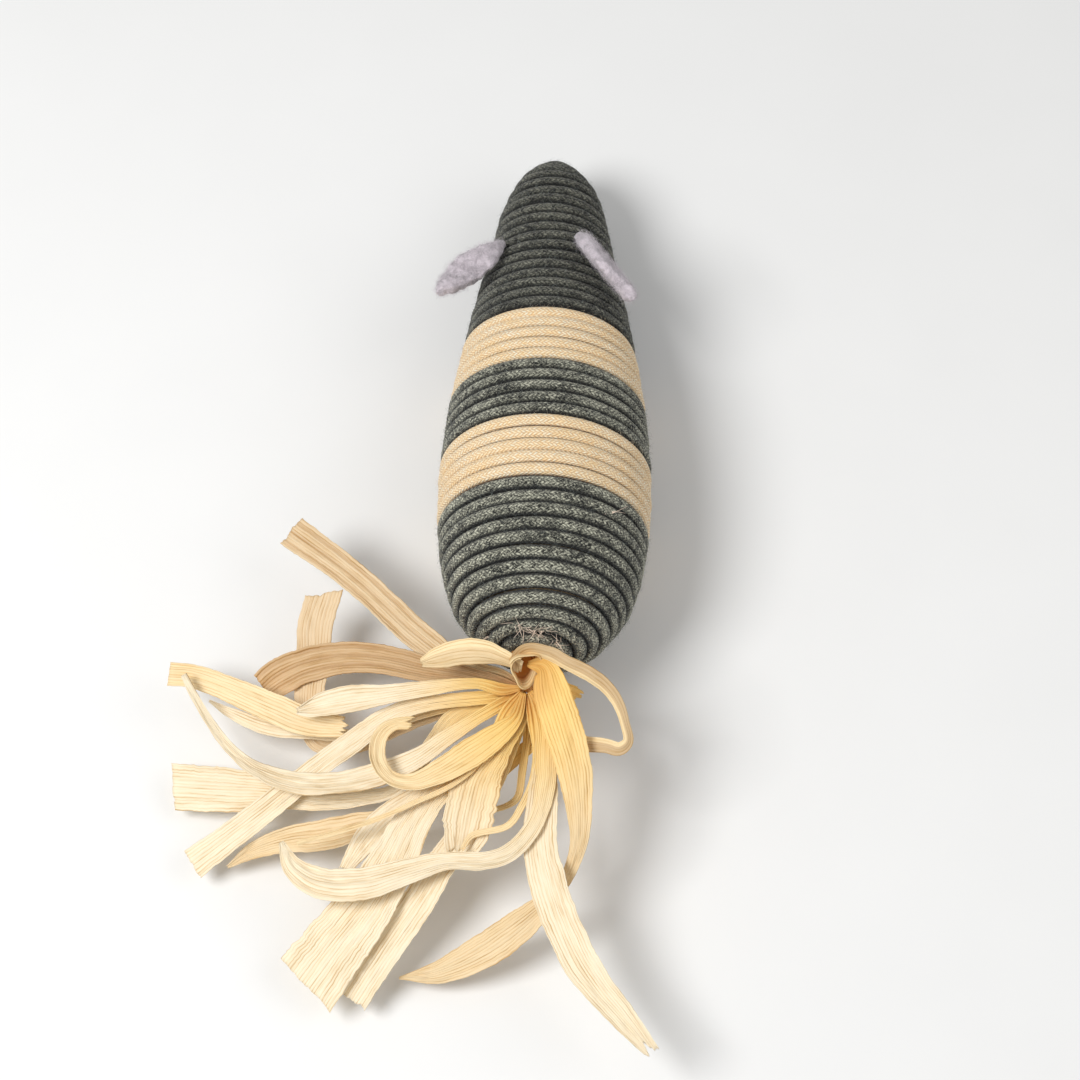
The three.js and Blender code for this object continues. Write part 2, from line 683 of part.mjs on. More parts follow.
// The tie: a short arm to the left, and a loop that sweeps round to the right
const tieLeftShares = [
  [0, -0.01, 0.03], [-0.05, -0.05, 0.035], [-0.095, -0.06, 0.04], [-0.175, -0.055, 0.05],
  [-0.25, -0.035, 0.055],
];
const tieRightShares = [
  [-0.01, -0.02, 0.03], [0.03, -0.05, 0.035], [0.105, -0.03, 0.035], [0.17, 0.014, 0.035],
  [0.21, 0.07, 0.03], [0.215, 0.13, 0.03], [0.185, 0.16, 0.03], [0.14, 0.15, 0.035],
];

const layerHeight = (layer) => (layer - (topLayer - 1) / 2) * layerPitch;

// The spots of a route on its layer, each with the strip's width there as its third number
function spotsOn(routeShares, layer) {
  return routeShares.map(([right, away, width]) => {
    const at = onLayer(right * tuftReach, away * tuftReach, layerHeight(layer));
    return new THREE.Vector3(at.x, at.y, width * tuftReach);
  });
}

// The same spots, led straight in to the knot until the strip stands off its drum by the seat's gap
function ledToKnot(spots) {
  const seat = knotWidth / 2 + seatGap;
  const clear = spots.filter((at) => Math.hypot(at.x, at.y) > seat + huskThickness);
  const [first] = clear;
  const inwards = seat / Math.hypot(first.x, first.y);
  return [new THREE.Vector3(first.x * inwards, first.y * inwards, first.z), ...clear];
}

// A flat strip along its spots, as thick as one husk unless told otherwise
function stripGeometry(spots, layer, thickness = huskThickness) {
  const route = new THREE.CatmullRomCurve3(spots, false, "centripetal");
  const steps = 2 * (spots.length - 1);
  const left = [];
  const right = [];
  for (let i = 0; i <= steps; i += 1) {
    const at = route.getPoint(i / steps);
    const along = route.getTangent(i / steps);
    const across = new THREE.Vector2(-along.y, along.x).normalize();
    left.push(new THREE.Vector2(at.x, at.y).addScaledVector(across, at.z / 2));
    right.push(new THREE.Vector2(at.x, at.y).addScaledVector(across, -at.z / 2));
  }
  const shape = new THREE.Shape([...right, ...left.reverse()]);
  const geometry = new THREE.ExtrudeGeometry(shape, { depth: thickness, bevelEnabled: false });
  geometry.translate(0, 0, layerHeight(layer) - huskThickness / 2);
  return geometry;
}

for (const [name, [layer, routeShares]] of Object.entries(huskRouteShares))
  tuft.add(named(name, stripGeometry(ledToKnot(spotsOn(routeShares, layer)), layer), husk));

const [outLayer, backLayer] = foldedLayers;
const foldRise = (outLayer - backLayer) * layerPitch + huskThickness;
const folded = solidOf(stripGeometry(ledToKnot(spotsOn(foldedOutShares, outLayer)), outLayer))
  .add(solidOf(stripGeometry(spotsOn(foldedBackShares, backLayer), backLayer)))
  .add(solidOf(stripGeometry(spotsOn(foldShares, backLayer), backLayer, foldRise)));
tuft.add(named("husk_long_fold", geometryOf(folded), husk));

const tieLayer = topLayer + 1;
const tieRing = new THREE.CylinderGeometry(
  knotWidth / 2 + huskThickness,
  knotWidth / 2 + huskThickness,
  tieBand,
  smallFacets,
);
tieRing.rotateX(Math.PI / 2);
tieRing.translate(0, 0, layersHigh / 2 + seatGap + tieBand / 2);
const tie = solidOf(tieRing)
  .add(solidOf(stripGeometry(spotsOn(tieLeftShares, tieLayer), tieLayer)))
  .add(solidOf(stripGeometry(spotsOn(tieRightShares, tieLayer), tieLayer)));
tuft.add(named("husk_tie", geometryOf(tie), husk));

const mouse = new THREE.Group();
mouse.add(body, tuft);

export default mouse;
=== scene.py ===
"""A catnip mouse: a body wound with braided cord, two felt ears and a tail of torn corn husk."""
from math import cos, hypot, pi, radians, sin, sqrt, tau

import bmesh
import bpy
import numpy as np
from mathutils import Matrix, Vector, noise


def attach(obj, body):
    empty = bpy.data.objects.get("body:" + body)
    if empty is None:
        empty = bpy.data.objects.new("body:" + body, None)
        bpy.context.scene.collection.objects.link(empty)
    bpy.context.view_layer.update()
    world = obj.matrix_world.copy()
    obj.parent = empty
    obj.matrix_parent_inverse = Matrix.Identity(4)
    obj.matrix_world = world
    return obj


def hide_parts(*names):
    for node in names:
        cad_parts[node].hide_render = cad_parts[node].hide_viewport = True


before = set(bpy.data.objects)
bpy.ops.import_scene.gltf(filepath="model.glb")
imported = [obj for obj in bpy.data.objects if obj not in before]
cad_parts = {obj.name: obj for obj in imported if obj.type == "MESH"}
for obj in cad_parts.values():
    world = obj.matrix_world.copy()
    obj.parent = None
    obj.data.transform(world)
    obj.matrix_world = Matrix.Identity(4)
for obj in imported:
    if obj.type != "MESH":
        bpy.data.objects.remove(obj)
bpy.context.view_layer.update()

bl_info = {
    "name": "Catnip Mouse",
    "version": (1, 0, 0),
    "blender": (4, 5, 0),
    "location": "View3D > Sidebar > Mouse",
    "description": "Winds, cuts and ties a catnip mouse around its fixed frame",
    "category": "Add Mesh",
}

# Lengths are in millimetres in this file, and meshes are made in metres
MM = 0.001

# The wound body, as the frame has it
body_length = 103.7
body_width = 35.6
nose_down = radians(5)
body_middle = np.array([0, 15.308, 16.285])
turns_along_body = 47
band_turns = {
    "nose_cord": (0.04, 18.5, "grey"),
    "front_cream_cord": (18.5, 23.5, "cream"),
    "middle_grey_cord": (23.5, 28.5, "grey"),
    "rear_cream_cord": (28.5, 33.5, "cream"),
    "rear_cord": (33.5, 45.38, "grey"),
}
# How light the dark and the light fibres of each grey run are, as shares of the settings' colours
# The runs are darker towards the nose: painted shade, where the body turns away from the light
heather_painted_shade = {"nose_cord": (0.05, 0.38), "middle_grey_cord": (0.22, 0.86), "rear_cord": (0.28, 0.96)}
# Stray fibres: how many stand on a square millimetre, how wide they are, and how far they stand up
fuzz_density = {"grey": 2.0, "cream": 1.0}
stray_width = 0.03
stray_lean = 0.75
frayed_density = 6
frayed_length = 3.4
frayed_width = 0.2
frayed_lean = 0.45
# Patches of broken fibres: the middle, half the length and half the width of each
fray_spots = [
    ((-0.5, -33.9, 27.3), 2.6, 0.9), ((-3.0, -33.0, 27.6), 1.6, 0.8), ((3.2, -34.6, 25.2), 1.3, 0.9),
    ((-8.2, -32.6, 21.5), 0.9, 1.0), ((9.5, -14.2, 31.8), 1.6, 0.6),
]
tail_opening = 4.25
# How unevenly the turns lie, and how finely the cord is made
uneven_depth = 0.1
uneven_pitch = 0.16
cord_step = 0.32
cord_sides = 22
# The body's outline: how far along it, and how much of its greatest girth
girth_shares = [
    (0, 0), (0.024, 0.23), (0.095, 0.47), (0.206, 0.61), (0.345, 0.77), (0.5, 0.92),
    (0.655, 1), (0.794, 0.97), (0.905, 0.8), (0.976, 0.45), (1, 0),
]
thread_width = 0.55
thread_depth = 0.5

# The ears
ear_places = {
    "ear_left": dict(body="left_ear", root=(-9.2, 41.8, 23.0), reach=(-0.66, -0.74, 0.14),
                     side=(0.74, -0.66, 0.0), length=15.6, wide=0.76, cup=0.7, bend=0.8, seed=3, room=0.25),
    "ear_right": dict(body="right_ear", root=(5.0, 42.1, 25.9), reach=(0.5, -0.843, 0.209),
                      side=(0.5, -0.1, -0.86), length=17.2, wide=0.9, cup=-0.5, bend=0.5, seed=4, room=0.19),
}
ear_root_reach = 1.3
ear_gap = 0.35
nap_room = 0.75
nap_density = 20
nap_width = 0.035
nap_lean = 0.45
ear_edge_share = 0.05
ear_edge_spacing = 1.6
ear_tuck_shares = (0.06, 0.18)
ear_bumps = 0.3
ear_bump_spacing = 1.3
raising_step = 0.05
touching = 0.02
ear_width_shares = [
    (0, 0.08), (0.05, 0.26), (0.12, 0.46), (0.3, 0.86), (0.46, 1), (0.63, 0.92), (0.8, 0.66),
    (0.93, 0.34), (1, 0),
]

# The tuft: its knot, the slope of its layers, and the direction its routes are measured in
knot = np.array([-1.4, -40.945, 20.6])
slope_back = radians(15)
slope_left = radians(10)
look_down = radians(62)
look_lean = radians(1.85)
tuft_reach = 69.5
layer_pitch = 0.65
top_layer = 12
layer_spread = 45
# How a strip is shaped: its rows, its start at the knot, and the heights of its folds and waves
strip_row = 0.45
strip_start = 1.25
gathered_width = 0.8
fanned_width = 2.0
narrowest = 0.3
pleat_height = 0.22
edge_wave = 0.25
crinkle = 0.22
torn_from_share = 0.86
edge_spacings = (2.3, 0.5)
sway_spacing = 11
cup_spacing = 16
full_cup_width = 2.5
# How far along a strip its waves begin and grow, and its pleats rise, begin to fade and fade out
waves_from = 6
waves_over = 18
pleats_rise = 4
pleats_from = 1
pleats_over = 9
# How far the teeth of a strip's end reach, the fine ones and the coarse ones, and how deep a fork is
torn_reach = {"cut": (0.12, 0.25), "torn": (0.6, 1.1), "point": (0.1, 0.1), "fork": (0.8, 1.2)}
fork_depth = 3.5
# Where the husk is golden, where it has faded, and where painted shade darkens it deep in the knot
golden_reach = 5
faded_reach = (17, 26)
knot_shade_reach = 2.5
knot_shade_fade = 5
knot_shade_share = 0.45
# The three fans lie a little apart in height, so that they swing past each other
fan_lift = {"left": -0.2, "lower": 0.0, "right": 0.2}
# How much painted shade darkens each colour channel in the valleys between a strip's ribs
rib_shade_strength = np.array([0.3, 0.42, 0.56, 0])
tuft_turn = np.array(Matrix.Rotation(slope_back, 3, "X") @ Matrix.Rotation(-slope_left, 3, "Y"))

view_right = np.array([1.0, 0, 0])
view_up = np.array([0, sin(look_down), cos(look_down)])
view_back = np.array([0, -cos(look_down), sin(look_down)])


def linear(red, green, blue):
    """A colour given in 0 to 255 as a linear one."""
    return tuple((c / 255 / 12.92 if c < 10.3 else ((c / 255 + 0.055) / 1.055) ** 2.4)
                 for c in (red, green, blue)) + (1.0,)


# Settings

def length_setting(name, description, default):
    """A length that the user may change, with its default in millimetres."""
    return bpy.props.FloatProperty(
        name=name, description=description, default=default * MM, unit="LENGTH")


def colour_setting(name, description, *default):
    """A colour that the user may change, with its default in 0 to 255."""
    return bpy.props.FloatVectorProperty(
        name=name, description=description, default=linear(*default), size=4, subtype="COLOR")


class MouseCordSettings(bpy.types.PropertyGroup):
    """Sizes and colours of the braided cord."""
    thickness: length_setting("Thickness", "How deep the cord lies on the core", 2.16)
    relief: length_setting("Strand relief", "How far the strands stand out of the braid", 0.09)
    strands: bpy.props.IntProperty(
        name="Strands", description="Strands that run each way round the cord", default=14)
    strand_pitch: length_setting("Strand pitch", "Length of cord from one strand to the next", 0.74)
    fuzz_length: length_setting("Fuzz length", "Longest stray fibre", 1.1)
    seed: bpy.props.IntProperty(name="Seed", description="Picks the stray fibres", default=7)
    grey_dark: colour_setting("Grey, dark", "Dark fibres of the heather", 44, 48, 43)
    grey_light: colour_setting("Grey, light", "Light fibres of the heather", 232, 231, 208)
    cream_dark: colour_setting("Cream, dark", "Shaded fibres of the cream cord", 255, 226, 176)
    cream_light: colour_setting("Cream, light", "Bright fibres of the cream cord", 255, 250, 228)


class MouseFeltSettings(bpy.types.PropertyGroup):
    """Sizes and colour of the felt ears."""
    width: length_setting("Width", "Across the middle", 7.6)
    thickness: length_setting("Thickness", "Of the felt", 2.4)
    fuzz_length: length_setting("Fuzz length", "Longest stray fibre", 1.7)
    colour: colour_setting("Colour", "Of the felt", 224, 214, 221)


class MouseHuskSettings(bpy.types.PropertyGroup):
    """Sizes and colours of the corn husk."""
    thickness: length_setting("Thickness", "Of one strip", 0.16)
    vein_pitch: length_setting("Vein pitch", "From one vein to the next", 0.55)
    vein_height: length_setting("Vein height", "Of a vein over the husk", 0.035)
    golden: colour_setting("Golden", "Husk near the knot", 255, 219, 133)
    pale: colour_setting("Pale", "Husk at the tips", 255, 242, 214)
    # Tan is painted shade: a duller colour for the strips that lie low at the back, under the others
    tan: colour_setting("Tan", "Shaded husk at the back", 240, 216, 178)
    # Painted shade: the darker orange of the husk deep in the knot, in the roll and inside the body
    knot_shade: colour_setting("Recess", "Husk deep in the knot", 222, 150, 58)


class MouseStageSettings(bpy.types.PropertyGroup):
    """Floor and lamps."""
    floor: colour_setting("Floor", "Colour of the floor", 238, 238, 237)
    key: bpy.props.FloatProperty(name="Key lamp", description="Power of the key lamp", default=2.5)
    fill: bpy.props.FloatProperty(name="Fill lamp", description="Power of the fill lamp", default=0.6)
    sky: bpy.props.FloatProperty(name="Sky", description="Strength of the even light", default=0.4)


# Nodes

class Value:
    """What a node gives out. It can be added, multiplied and so on, and [name] picks another output."""

    def __init__(self, nodes, node, output=None):
        self.nodes, self.node, self.output = nodes, node, output

    def __getitem__(self, output):
        return Value(self.nodes, self.node, output)

    @property
    def socket(self):
        """The named output, or else the first one in use."""
        if self.output:
            return self.node.outputs[self.output]
        return next(socket for socket in self.node.outputs if socket.enabled)

    def of(self, operation, *others):
        return self.nodes.add("Math", self, *others, operation=operation)

    def __add__(self, other):
        return self.of("ADD", other)

    def __sub__(self, other):
        return self.of("SUBTRACT", other)

    def __rsub__(self, other):
        return self.nodes.add("Math", other, self, operation="SUBTRACT")

    def __mul__(self, other):
        return self.of("MULTIPLY", other)

    def __truediv__(self, other):
        return self.of("DIVIDE", other)

    def __pow__(self, other):
        return self.of("POWER", other)


class Nodes:
    """Adds nodes to one tree, and links them."""

    def __init__(self, tree, material=None):
        self.tree, self.material = tree, material

    def add(self, kind, *values, **given):
        """A node, by its name in Blender without the family in front.

        The values feed its first inputs. Of the given names, those in small letters are settings, and
        the others are inputs, with _ for a space."""
        families = ("GeometryNode", "FunctionNode", "ShaderNode", "")
        family = next(family for family in families if hasattr(bpy.types, family + kind))
        node = self.tree.nodes.new(family + kind)
        for name in filter(str.islower, given):
            setattr(node, name, given[name])
        for socket, value in zip(node.inputs, values):
            self.feed(socket, value)
        for name, value in given.items():
            if not name.islower():
                label = name.replace("_", " ")
                used = [socket for socket in node.inputs if socket.name == label and socket.enabled]
                self.feed(used[0] if used else node.inputs[label], value)
        return Value(self, node)

    def feed(self, socket, value):
        """Gives a socket a number, a colour or another node's output."""
        if isinstance(value, Value):
            self.tree.links.new(value.socket, socket)
        else:
            socket.default_value = value

    def mixed(self, factor, first, second):
        """A number between two others."""
        step = self.add("Math", second, first, operation="SUBTRACT")
        return factor * step + first

    def blended(self, factor, first, second, kind="MIX"):
        """A colour between two others, or their product."""
        return self.add("Mix", Factor=factor, A=first, B=second, data_type="RGBA", blend_type=kind)

    def scaled(self, vector, scale):
        return self.add("VectorMath", vector, Scale=scale, operation="SCALE")

    def moved(self, operation, first, second):
        """The sum, difference or dot product of two vectors."""
        return self.add("VectorMath", first, second, operation=operation)

    def above_floor(self, place):
        """The same place, or the floor above it."""
        split = self.add("SeparateXYZ", place)
        return self.add("CombineXYZ", split["X"], split["Y"], split["Z"].of("MAXIMUM", 0.0))

    def attribute(self, name, data_type="FLOAT"):
        return self.add("InputNamedAttribute", name, data_type=data_type)

    def stored(self, geometry, name, value, data_type="FLOAT", domain="POINT"):
        return self.add("StoreNamedAttribute", geometry, Name=name, Value=value,
                        data_type=data_type, domain=domain)

    def noise(self, scale, detail=2.0, **more):
        """Noise over the place on the piece."""
        place = self.add("TexCoord")["Object"]
        return self.add("TexNoise", Vector=place, Scale=scale, Detail=detail, **more)

    def uv(self):
        """Places across and along the piece's own UV map."""
        split = self.add("SeparateXYZ", self.add("UVMap", uv_map="UVMap"))
        return split["X"], split["Y"]

    def ramp(self, factor, *stops):
        """Colours through (place, colour) stops."""
        made = self.add("ValToRGB", factor)
        elements = made.node.color_ramp.elements
        for index, (place, colour) in enumerate(stops):
            element = elements[index] if index < 2 else elements.new(place)
            element.position = place
            element.color = colour
        return made

    def dimmed(self, tone, colour, dim, low, high):
        """A dimmed colour that grows to the full one as the tone rises from low to high."""
        dark = tuple(part * dim for part in colour[:3]) + (1,)
        return self.ramp(tone, (low, dark), (high, tuple(colour)))

    def shader(self, colour, roughness, bump=None, **more):
        """A Principled surface. Its bump is a height, a strength and a depth in millimetres."""
        if bump:
            height, strength, depth = bump
            more["Normal"] = self.add("Bump", Height=height, Strength=strength, Distance=depth * MM)
        return self.add("BsdfPrincipled", Base_Color=colour, Roughness=roughness, **more)

    def finished(self, shader):
        self.add("OutputMaterial", shader)
        return self.material


def new_material(name):
    material = bpy.data.materials.new(name)
    material.use_nodes = True
    material.node_tree.nodes.clear()
    return Nodes(material.node_tree, material)


def geometry_tree(name, **inputs):
    """A Geometry Nodes tree with named inputs, with _ for a space; returns its nodes and its inputs."""
    tree = bpy.data.node_groups.new(name, "GeometryNodeTree")
    for label, kind in inputs.items():
        tree.interface.new_socket(
            name=label.replace("_", " "), in_out="INPUT", socket_type="NodeSocket" + kind)
    tree.interface.new_socket(name="Geometry", in_out="OUTPUT", socket_type="NodeSocketGeometry")
    nodes = Nodes(tree)
    return nodes, nodes.add("NodeGroupInput")


def run_tree(name, mesh, tree, **values):
    """Runs a tree on a mesh with its inputs given by name, and returns the plain mesh as a piece."""
    source = piece(name + "_source", mesh)
    modifier = source.modifiers.new("Nodes", "NODES")
    modifier.node_group = tree
    for item in tree.interface.items_tree:
        label = item.name.replace(" ", "_")
        if item.in_out == "INPUT" and label in values:
            modifier[item.identifier] = values[label]
    graph = bpy.context.evaluated_depsgraph_get()
    made = bpy.data.meshes.new_from_object(source.evaluated_get(graph))
    bpy.data.objects.remove(source)
    made.name = name
    return piece(name, made)


# Meshes and pieces

def piece(name, mesh, material=None):
    made = bpy.data.objects.new(name, mesh)
    bpy.context.scene.collection.objects.link(made)
    if material:
        mesh.materials.append(material)
    return made


def hand_over(made, body, node=None):
    """A piece rides on its body and stands for a node, whose part is hidden."""
    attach(made, body)
    if node:
        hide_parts(node)


def joined(name, parts):
    """Several pieces as one."""
    with bpy.context.temp_override(active_object=parts[0], selected_editable_objects=parts):
        bpy.ops.object.join()
    parts[0].name = name
    return parts[0]


def mesh_from(name, points, faces, edges=()):
    """A mesh from points in millimetres."""
    mesh = bpy.data.meshes.new(name)
    mesh.from_pydata((np.asarray(points) * MM).tolist(), list(edges), faces)
    mesh.update()
    return mesh


def read(items, key, size=3, kind=float):
    """One value of every vertex or corner, as rows of numbers."""
    flat = np.empty(len(items) * size, dtype=kind)
    items.foreach_get(key, flat)
    return flat.reshape(-1, size)


def store(mesh, name, values):
    """Keeps a number or a vector for each vertex as an attribute."""
    values = np.asarray(values, dtype=float)
    kind, key = ("FLOAT", "value") if values.ndim == 1 else ("FLOAT_VECTOR", "vector")
    layer = mesh.attributes.get(name) or mesh.attributes.new(name, kind, "POINT")
    layer.data.foreach_set(key, values.ravel())


def drop_attributes(mesh, *names):
    for name in names:
        mesh.attributes.remove(mesh.attributes[name])


def add_uv(mesh, uv):
    """A UV map in millimetres, from a pair for each corner of a face or else for each vertex."""
    uv = np.asarray(uv, dtype=float)
    if len(uv) != len(mesh.loops):
        uv = uv[read(mesh.loops, "vertex_index", 1, int)[:, 0]]
    mesh.uv_layers.new(name="UVMap").data.foreach_set("uv", uv.ravel())


def add_tint(mesh, tint):
    """A colour for each vertex, which the husk takes as its ground colour."""
    layer = mesh.color_attributes.new(name="tint", type="FLOAT_COLOR", domain="POINT")
    layer.data.foreach_set("color", np.asarray(tint, dtype=float).ravel())


def smooth(mesh):
    mesh.polygons.foreach_set("use_smooth", [True] * len(mesh.polygons))
    mesh.update()


def face_outwards(mesh):
    """Turns every face of a closed mesh outwards."""
    shape = bmesh.new()
    shape.from_mesh(mesh)
    bmesh.ops.recalc_face_normals(shape, faces=shape.faces)
    shape.to_mesh(mesh)
    shape.free()


def roughen(mesh, height, spacing, seed):
    """Moves each vertex along its normal by smooth random bumps, in millimetres."""
    noise.seed_set(seed)
    for vertex in mesh.vertices:
        lift = noise.fractal(vertex.co / (spacing * MM), 1.0, 2.0, 3)
        vertex.co += vertex.normal * lift * height * MM


def ring_faces(rows, count):
    """The faces between the rings of a tube."""
    sides = [(k, (k + 1) % count) for k in range(count)]
    return [(start + a, start + b, start + count + b, start + count + a)
            for start in range(0, (rows - 1) * count, count) for a, b in sides]


def tube_mesh(name, rings, round_size):
    """A closed tube through rings of points, with its ends closed and its UV map in millimetres."""
    rows, count = rings.shape[:2]
    poles = [rings[0].mean(axis=0), rings[-1].mean(axis=0)]
    step = np.linalg.norm(np.diff(rings.mean(axis=1), axis=0), axis=1)
    run = np.concatenate([[0], np.cumsum(np.maximum(step, 0.05))])
    faces = ring_faces(rows, count)
    sides = [(k / count * round_size, (k + 1) / count * round_size) for k in range(count)]
    uv = [spot for i in range(rows - 1) for left, right in sides
          for spot in ((left, run[i]), (right, run[i]), (right, run[i + 1]), (left, run[i + 1]))]
    for row, pole, depth in ((0, rows * count, -1), (rows - 1, rows * count + 1, 1)):
        for k, (left, right) in enumerate(sides):
            faces.append((row * count + k, row * count + (k + 1) % count, pole))
            uv += [(left, run[row]), (right, run[row]), ((left + right) / 2, run[row] + depth)]
    mesh = mesh_from(name, np.vstack([rings.reshape(-1, 3), poles]), faces)
    add_uv(mesh, uv)
    face_outwards(mesh)
    smooth(mesh)
    return mesh


def sheet_mesh(name, places, thickness, uv, tint):
    """A closed sheet from a grid of places: two faces, and a rim round them."""
    normals = grid_normals(places)
    rows, columns = places.shape[:2]
    count = rows * columns
    at = np.arange(count).reshape(rows, columns).tolist()
    faces = []
    for i in range(rows - 1):
        for k in range(columns - 1):
            quad = (at[i][k], at[i][k + 1], at[i + 1][k + 1], at[i + 1][k])
            faces += [quad[::-1], tuple(count + corner for corner in quad)]
    rim = at[0] + [row[-1] for row in at[1:]] + at[-1][-2::-1] + [row[0] for row in at[-2:0:-1]]
    faces += [(a, b, count + b, count + a) for a, b in zip(rim, rim[1:] + rim[:1])]
    sides = [(places + normals * side / 2).reshape(-1, 3) for side in (thickness, -thickness)]
    mesh = mesh_from(name, np.vstack(sides), faces)
    add_uv(mesh, np.vstack([uv.reshape(-1, 2)] * 2))
    add_tint(mesh, np.vstack([tint.reshape(-1, 4)] * 2))
    smooth(mesh)
    return mesh


def grid_normals(places):
    down, over = np.gradient(places, axis=0), np.gradient(places, axis=1)
    normals = np.cross(over, down)
    length = np.linalg.norm(normals, axis=2, keepdims=True)
    normals = np.where(length > 1e-9, normals / np.maximum(length, 1e-9), [0, 0, 1])
    return normals if normals[..., 2].mean() > 0 else -normals


# Curves

def centripetal(points, at):
    """A point of the smooth curve through the given points, at a share of it from 0 to 1."""
    last = len(points) - 1
    index = min(int(at * last), last - 1)
    weight = at * last - index
    p1, p2 = points[index], points[index + 1]
    p0 = points[index - 1] if index > 0 else 2 * points[0] - points[1]
    p3 = points[index + 2] if index + 2 <= last else 2 * points[last] - points[last - 1]
    d0, d1, d2 = (max(sqrt(np.linalg.norm(b - a)), 1e-4) for a, b in ((p0, p1), (p1, p2), (p2, p3)))
    t1 = ((p1 - p0) / d0 - (p2 - p0) / (d0 + d1) + (p2 - p1) / d1) * d1
    t2 = ((p2 - p1) / d1 - (p3 - p1) / (d1 + d2) + (p3 - p2) / d2) * d1
    c2 = -3 * p1 + 3 * p2 - 2 * t1 - t2
    c3 = 2 * p1 - 2 * p2 + t1 + t2
    return p1 + weight * (t1 + weight * (c2 + weight * c3))


def run_along(line):
    """How far along a line each of its points lies."""
    return np.concatenate([[0], np.cumsum(np.linalg.norm(np.diff(line, axis=0), axis=1))])


def evenly(points, count, fine=600, axes=2):
    """The same curve as count points at even distances along it, and its length."""
    points = np.asarray(points, dtype=float)
    line = np.array([centripetal(points, i / fine) for i in range(fine + 1)])
    run = run_along(line[:, :axes])
    wanted = np.linspace(0, run[-1], count)
    return np.stack([np.interp(wanted, run, column) for column in line.T], axis=1), run[-1]


def ease(value):
    value = np.clip(value, 0, 1)
    return value * value * (3 - 2 * value)


def wander(places, seed, spacing):
    """Smooth random values from -1 to 1 along a line, one bump every spacing."""
    rng = np.random.default_rng(seed)
    knots = rng.uniform(-1, 1, int(np.max(places) / spacing) + 3)
    position = np.asarray(places) / spacing
    low = np.floor(position).astype(int)
    return knots[low] + (knots[low + 1] - knots[low]) * ease(position - low)


def pleated(count, pleats, seed):
    """The angles round a gathered bundle, and how far its skin stands out at each, from -1 to 1."""
    angle = tau * np.arange(count) / count
    phase = np.random.default_rng(seed).uniform(0, tau, 2)
    folds = 0.7 * np.cos(pleats * angle + phase[0]) + 0.3 * np.cos((2 * pleats + 3) * angle + phase[1])
    return angle, folds


# Body

def body_to_world(points):
    """From (across, distance from the nose, up) in the body to the frame."""
    x, y, z = np.moveaxis(np.asarray(points, dtype=float), -1, 0)
    y = y - body_length / 2
    level, tilt = cos(nose_down), sin(nose_down)
    return np.stack([x, -y * level - z * tilt, y * tilt - z * level], axis=-1) + body_middle


def world_to_body(points):
    x, y, z = (np.asarray(points, dtype=float) - body_middle).T
    level, tilt = cos(nose_down), sin(nose_down)
    return np.stack([x, body_length / 2 - y * level + z * tilt, -y * tilt - z * level], axis=1)


def node_profile(name):
    """How far the rings of a turned node lie from the nose, and the greatest radius of each."""
    local = world_to_body(read(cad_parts[name].data.vertices, "co") / MM)
    stations = np.round(local[:, 1], 1)
    radius = np.hypot(local[:, 0], local[:, 2])
    rings = np.unique(stations)
    return rings, np.array([radius[stations == ring].max() for ring in rings])


def turned(angle, radius, distance):
    """Points round the body's own axis."""
    across, up = np.sin(angle), np.cos(angle)
    return np.stack([radius * across, np.broadcast_to(distance, angle.shape), -radius * up], axis=1)


def body_direction(vectors):
    return body_to_world(np.asarray(vectors) + [0, body_length / 2, 0]) - body_middle


def winding_line(depth, fine=2000):
    """The outline moved in by a depth, as (radius, distance) points, its slope, and the way along it."""
    line, _ = evenly([(girth * body_width / 2, along * body_length) for along, girth in girth_shares], fine)
    slope = np.gradient(line, axis=0)
    slope /= np.linalg.norm(slope, axis=1)[:, None]
    inner = line + np.stack([-slope[:, 1], slope[:, 0]], axis=1) * depth
    keep = inner[:, 0] > 0
    return inner[keep], slope[keep], run_along(inner[keep])


def wound_line(first, last, depth, steps=160):
    """The middle of the cord from one turn to another, and the way out of the body at each point."""
    inner, slope, run = winding_line(depth)
    turns = np.linspace(first, last, int((last - first) * steps))
    wanted = turns / turns_along_body * run[-1]
    radius, distance = (np.interp(wanted, run, column) for column in inner.T)
    lean, rise = (np.interp(wanted, run, column) for column in slope.T)
    angle = tau * turns
    radius = radius + uneven_depth * wander(turns, 5, 0.31)
    radius = np.where(turns > turns_along_body / 2, np.maximum(radius, tail_opening), radius)
    distance = distance + uneven_pitch * wander(turns, 6, 0.43)
    return body_to_world(turned(angle, radius, distance)), body_direction(turned(angle, rise, -lean))


def clear_of_body(points, gap):
    """Points inside the wound body are moved straight out of it, to stand off it by the gap."""
    along, girth = np.array(girth_shares).T
    x, distance, up = world_to_body(points).T
    wanted = np.interp(distance, along * body_length, girth * body_width / 2) + gap
    grow = np.maximum(wanted / np.maximum(np.hypot(x, up), 1e-6), 1)
    return body_to_world(np.stack([x * grow, distance, up * grow], axis=1))


# Cords

def braid(turn, run):
    """Two families of strands that cross round a cord, each passing over two and under two.

    Given the strands passed round the cord and along it, this gives which family is on top there,
    and for each family the places across a strand, along its float, and the strand's own number."""
    one, other = turn + run, turn - run
    strand_one, strand_other = one.of("FLOOR"), other.of("FLOOR")
    top = (strand_one + strand_other).of("FLOORED_MODULO", 4.0).of("LESS_THAN", 1.5)
    families = []
    for across, own, place in ((one, strand_one, strand_one + other),
                               (other, strand_other, strand_other + one)):
        families.append({"across": across, "strand": own,
                         "along": (place / 2).of("FRACT"), "float": (place / 2).of("FLOOR")})
    return top, families


def braid_height(nodes, top, families):
    """How high the strand on top stands, from 0 in the gaps to 1 on its crown."""
    heights = []
    for family in families:
        arch = (family["along"] * pi).of("SINE")
        round_back = (family["across"] * pi).of("SINE").of("ABSOLUTE")
        heights.append(round_back ** 0.7 * nodes.mixed(arch, 0.4, 1.0))
    return nodes.mixed(top, heights[1], heights[0])


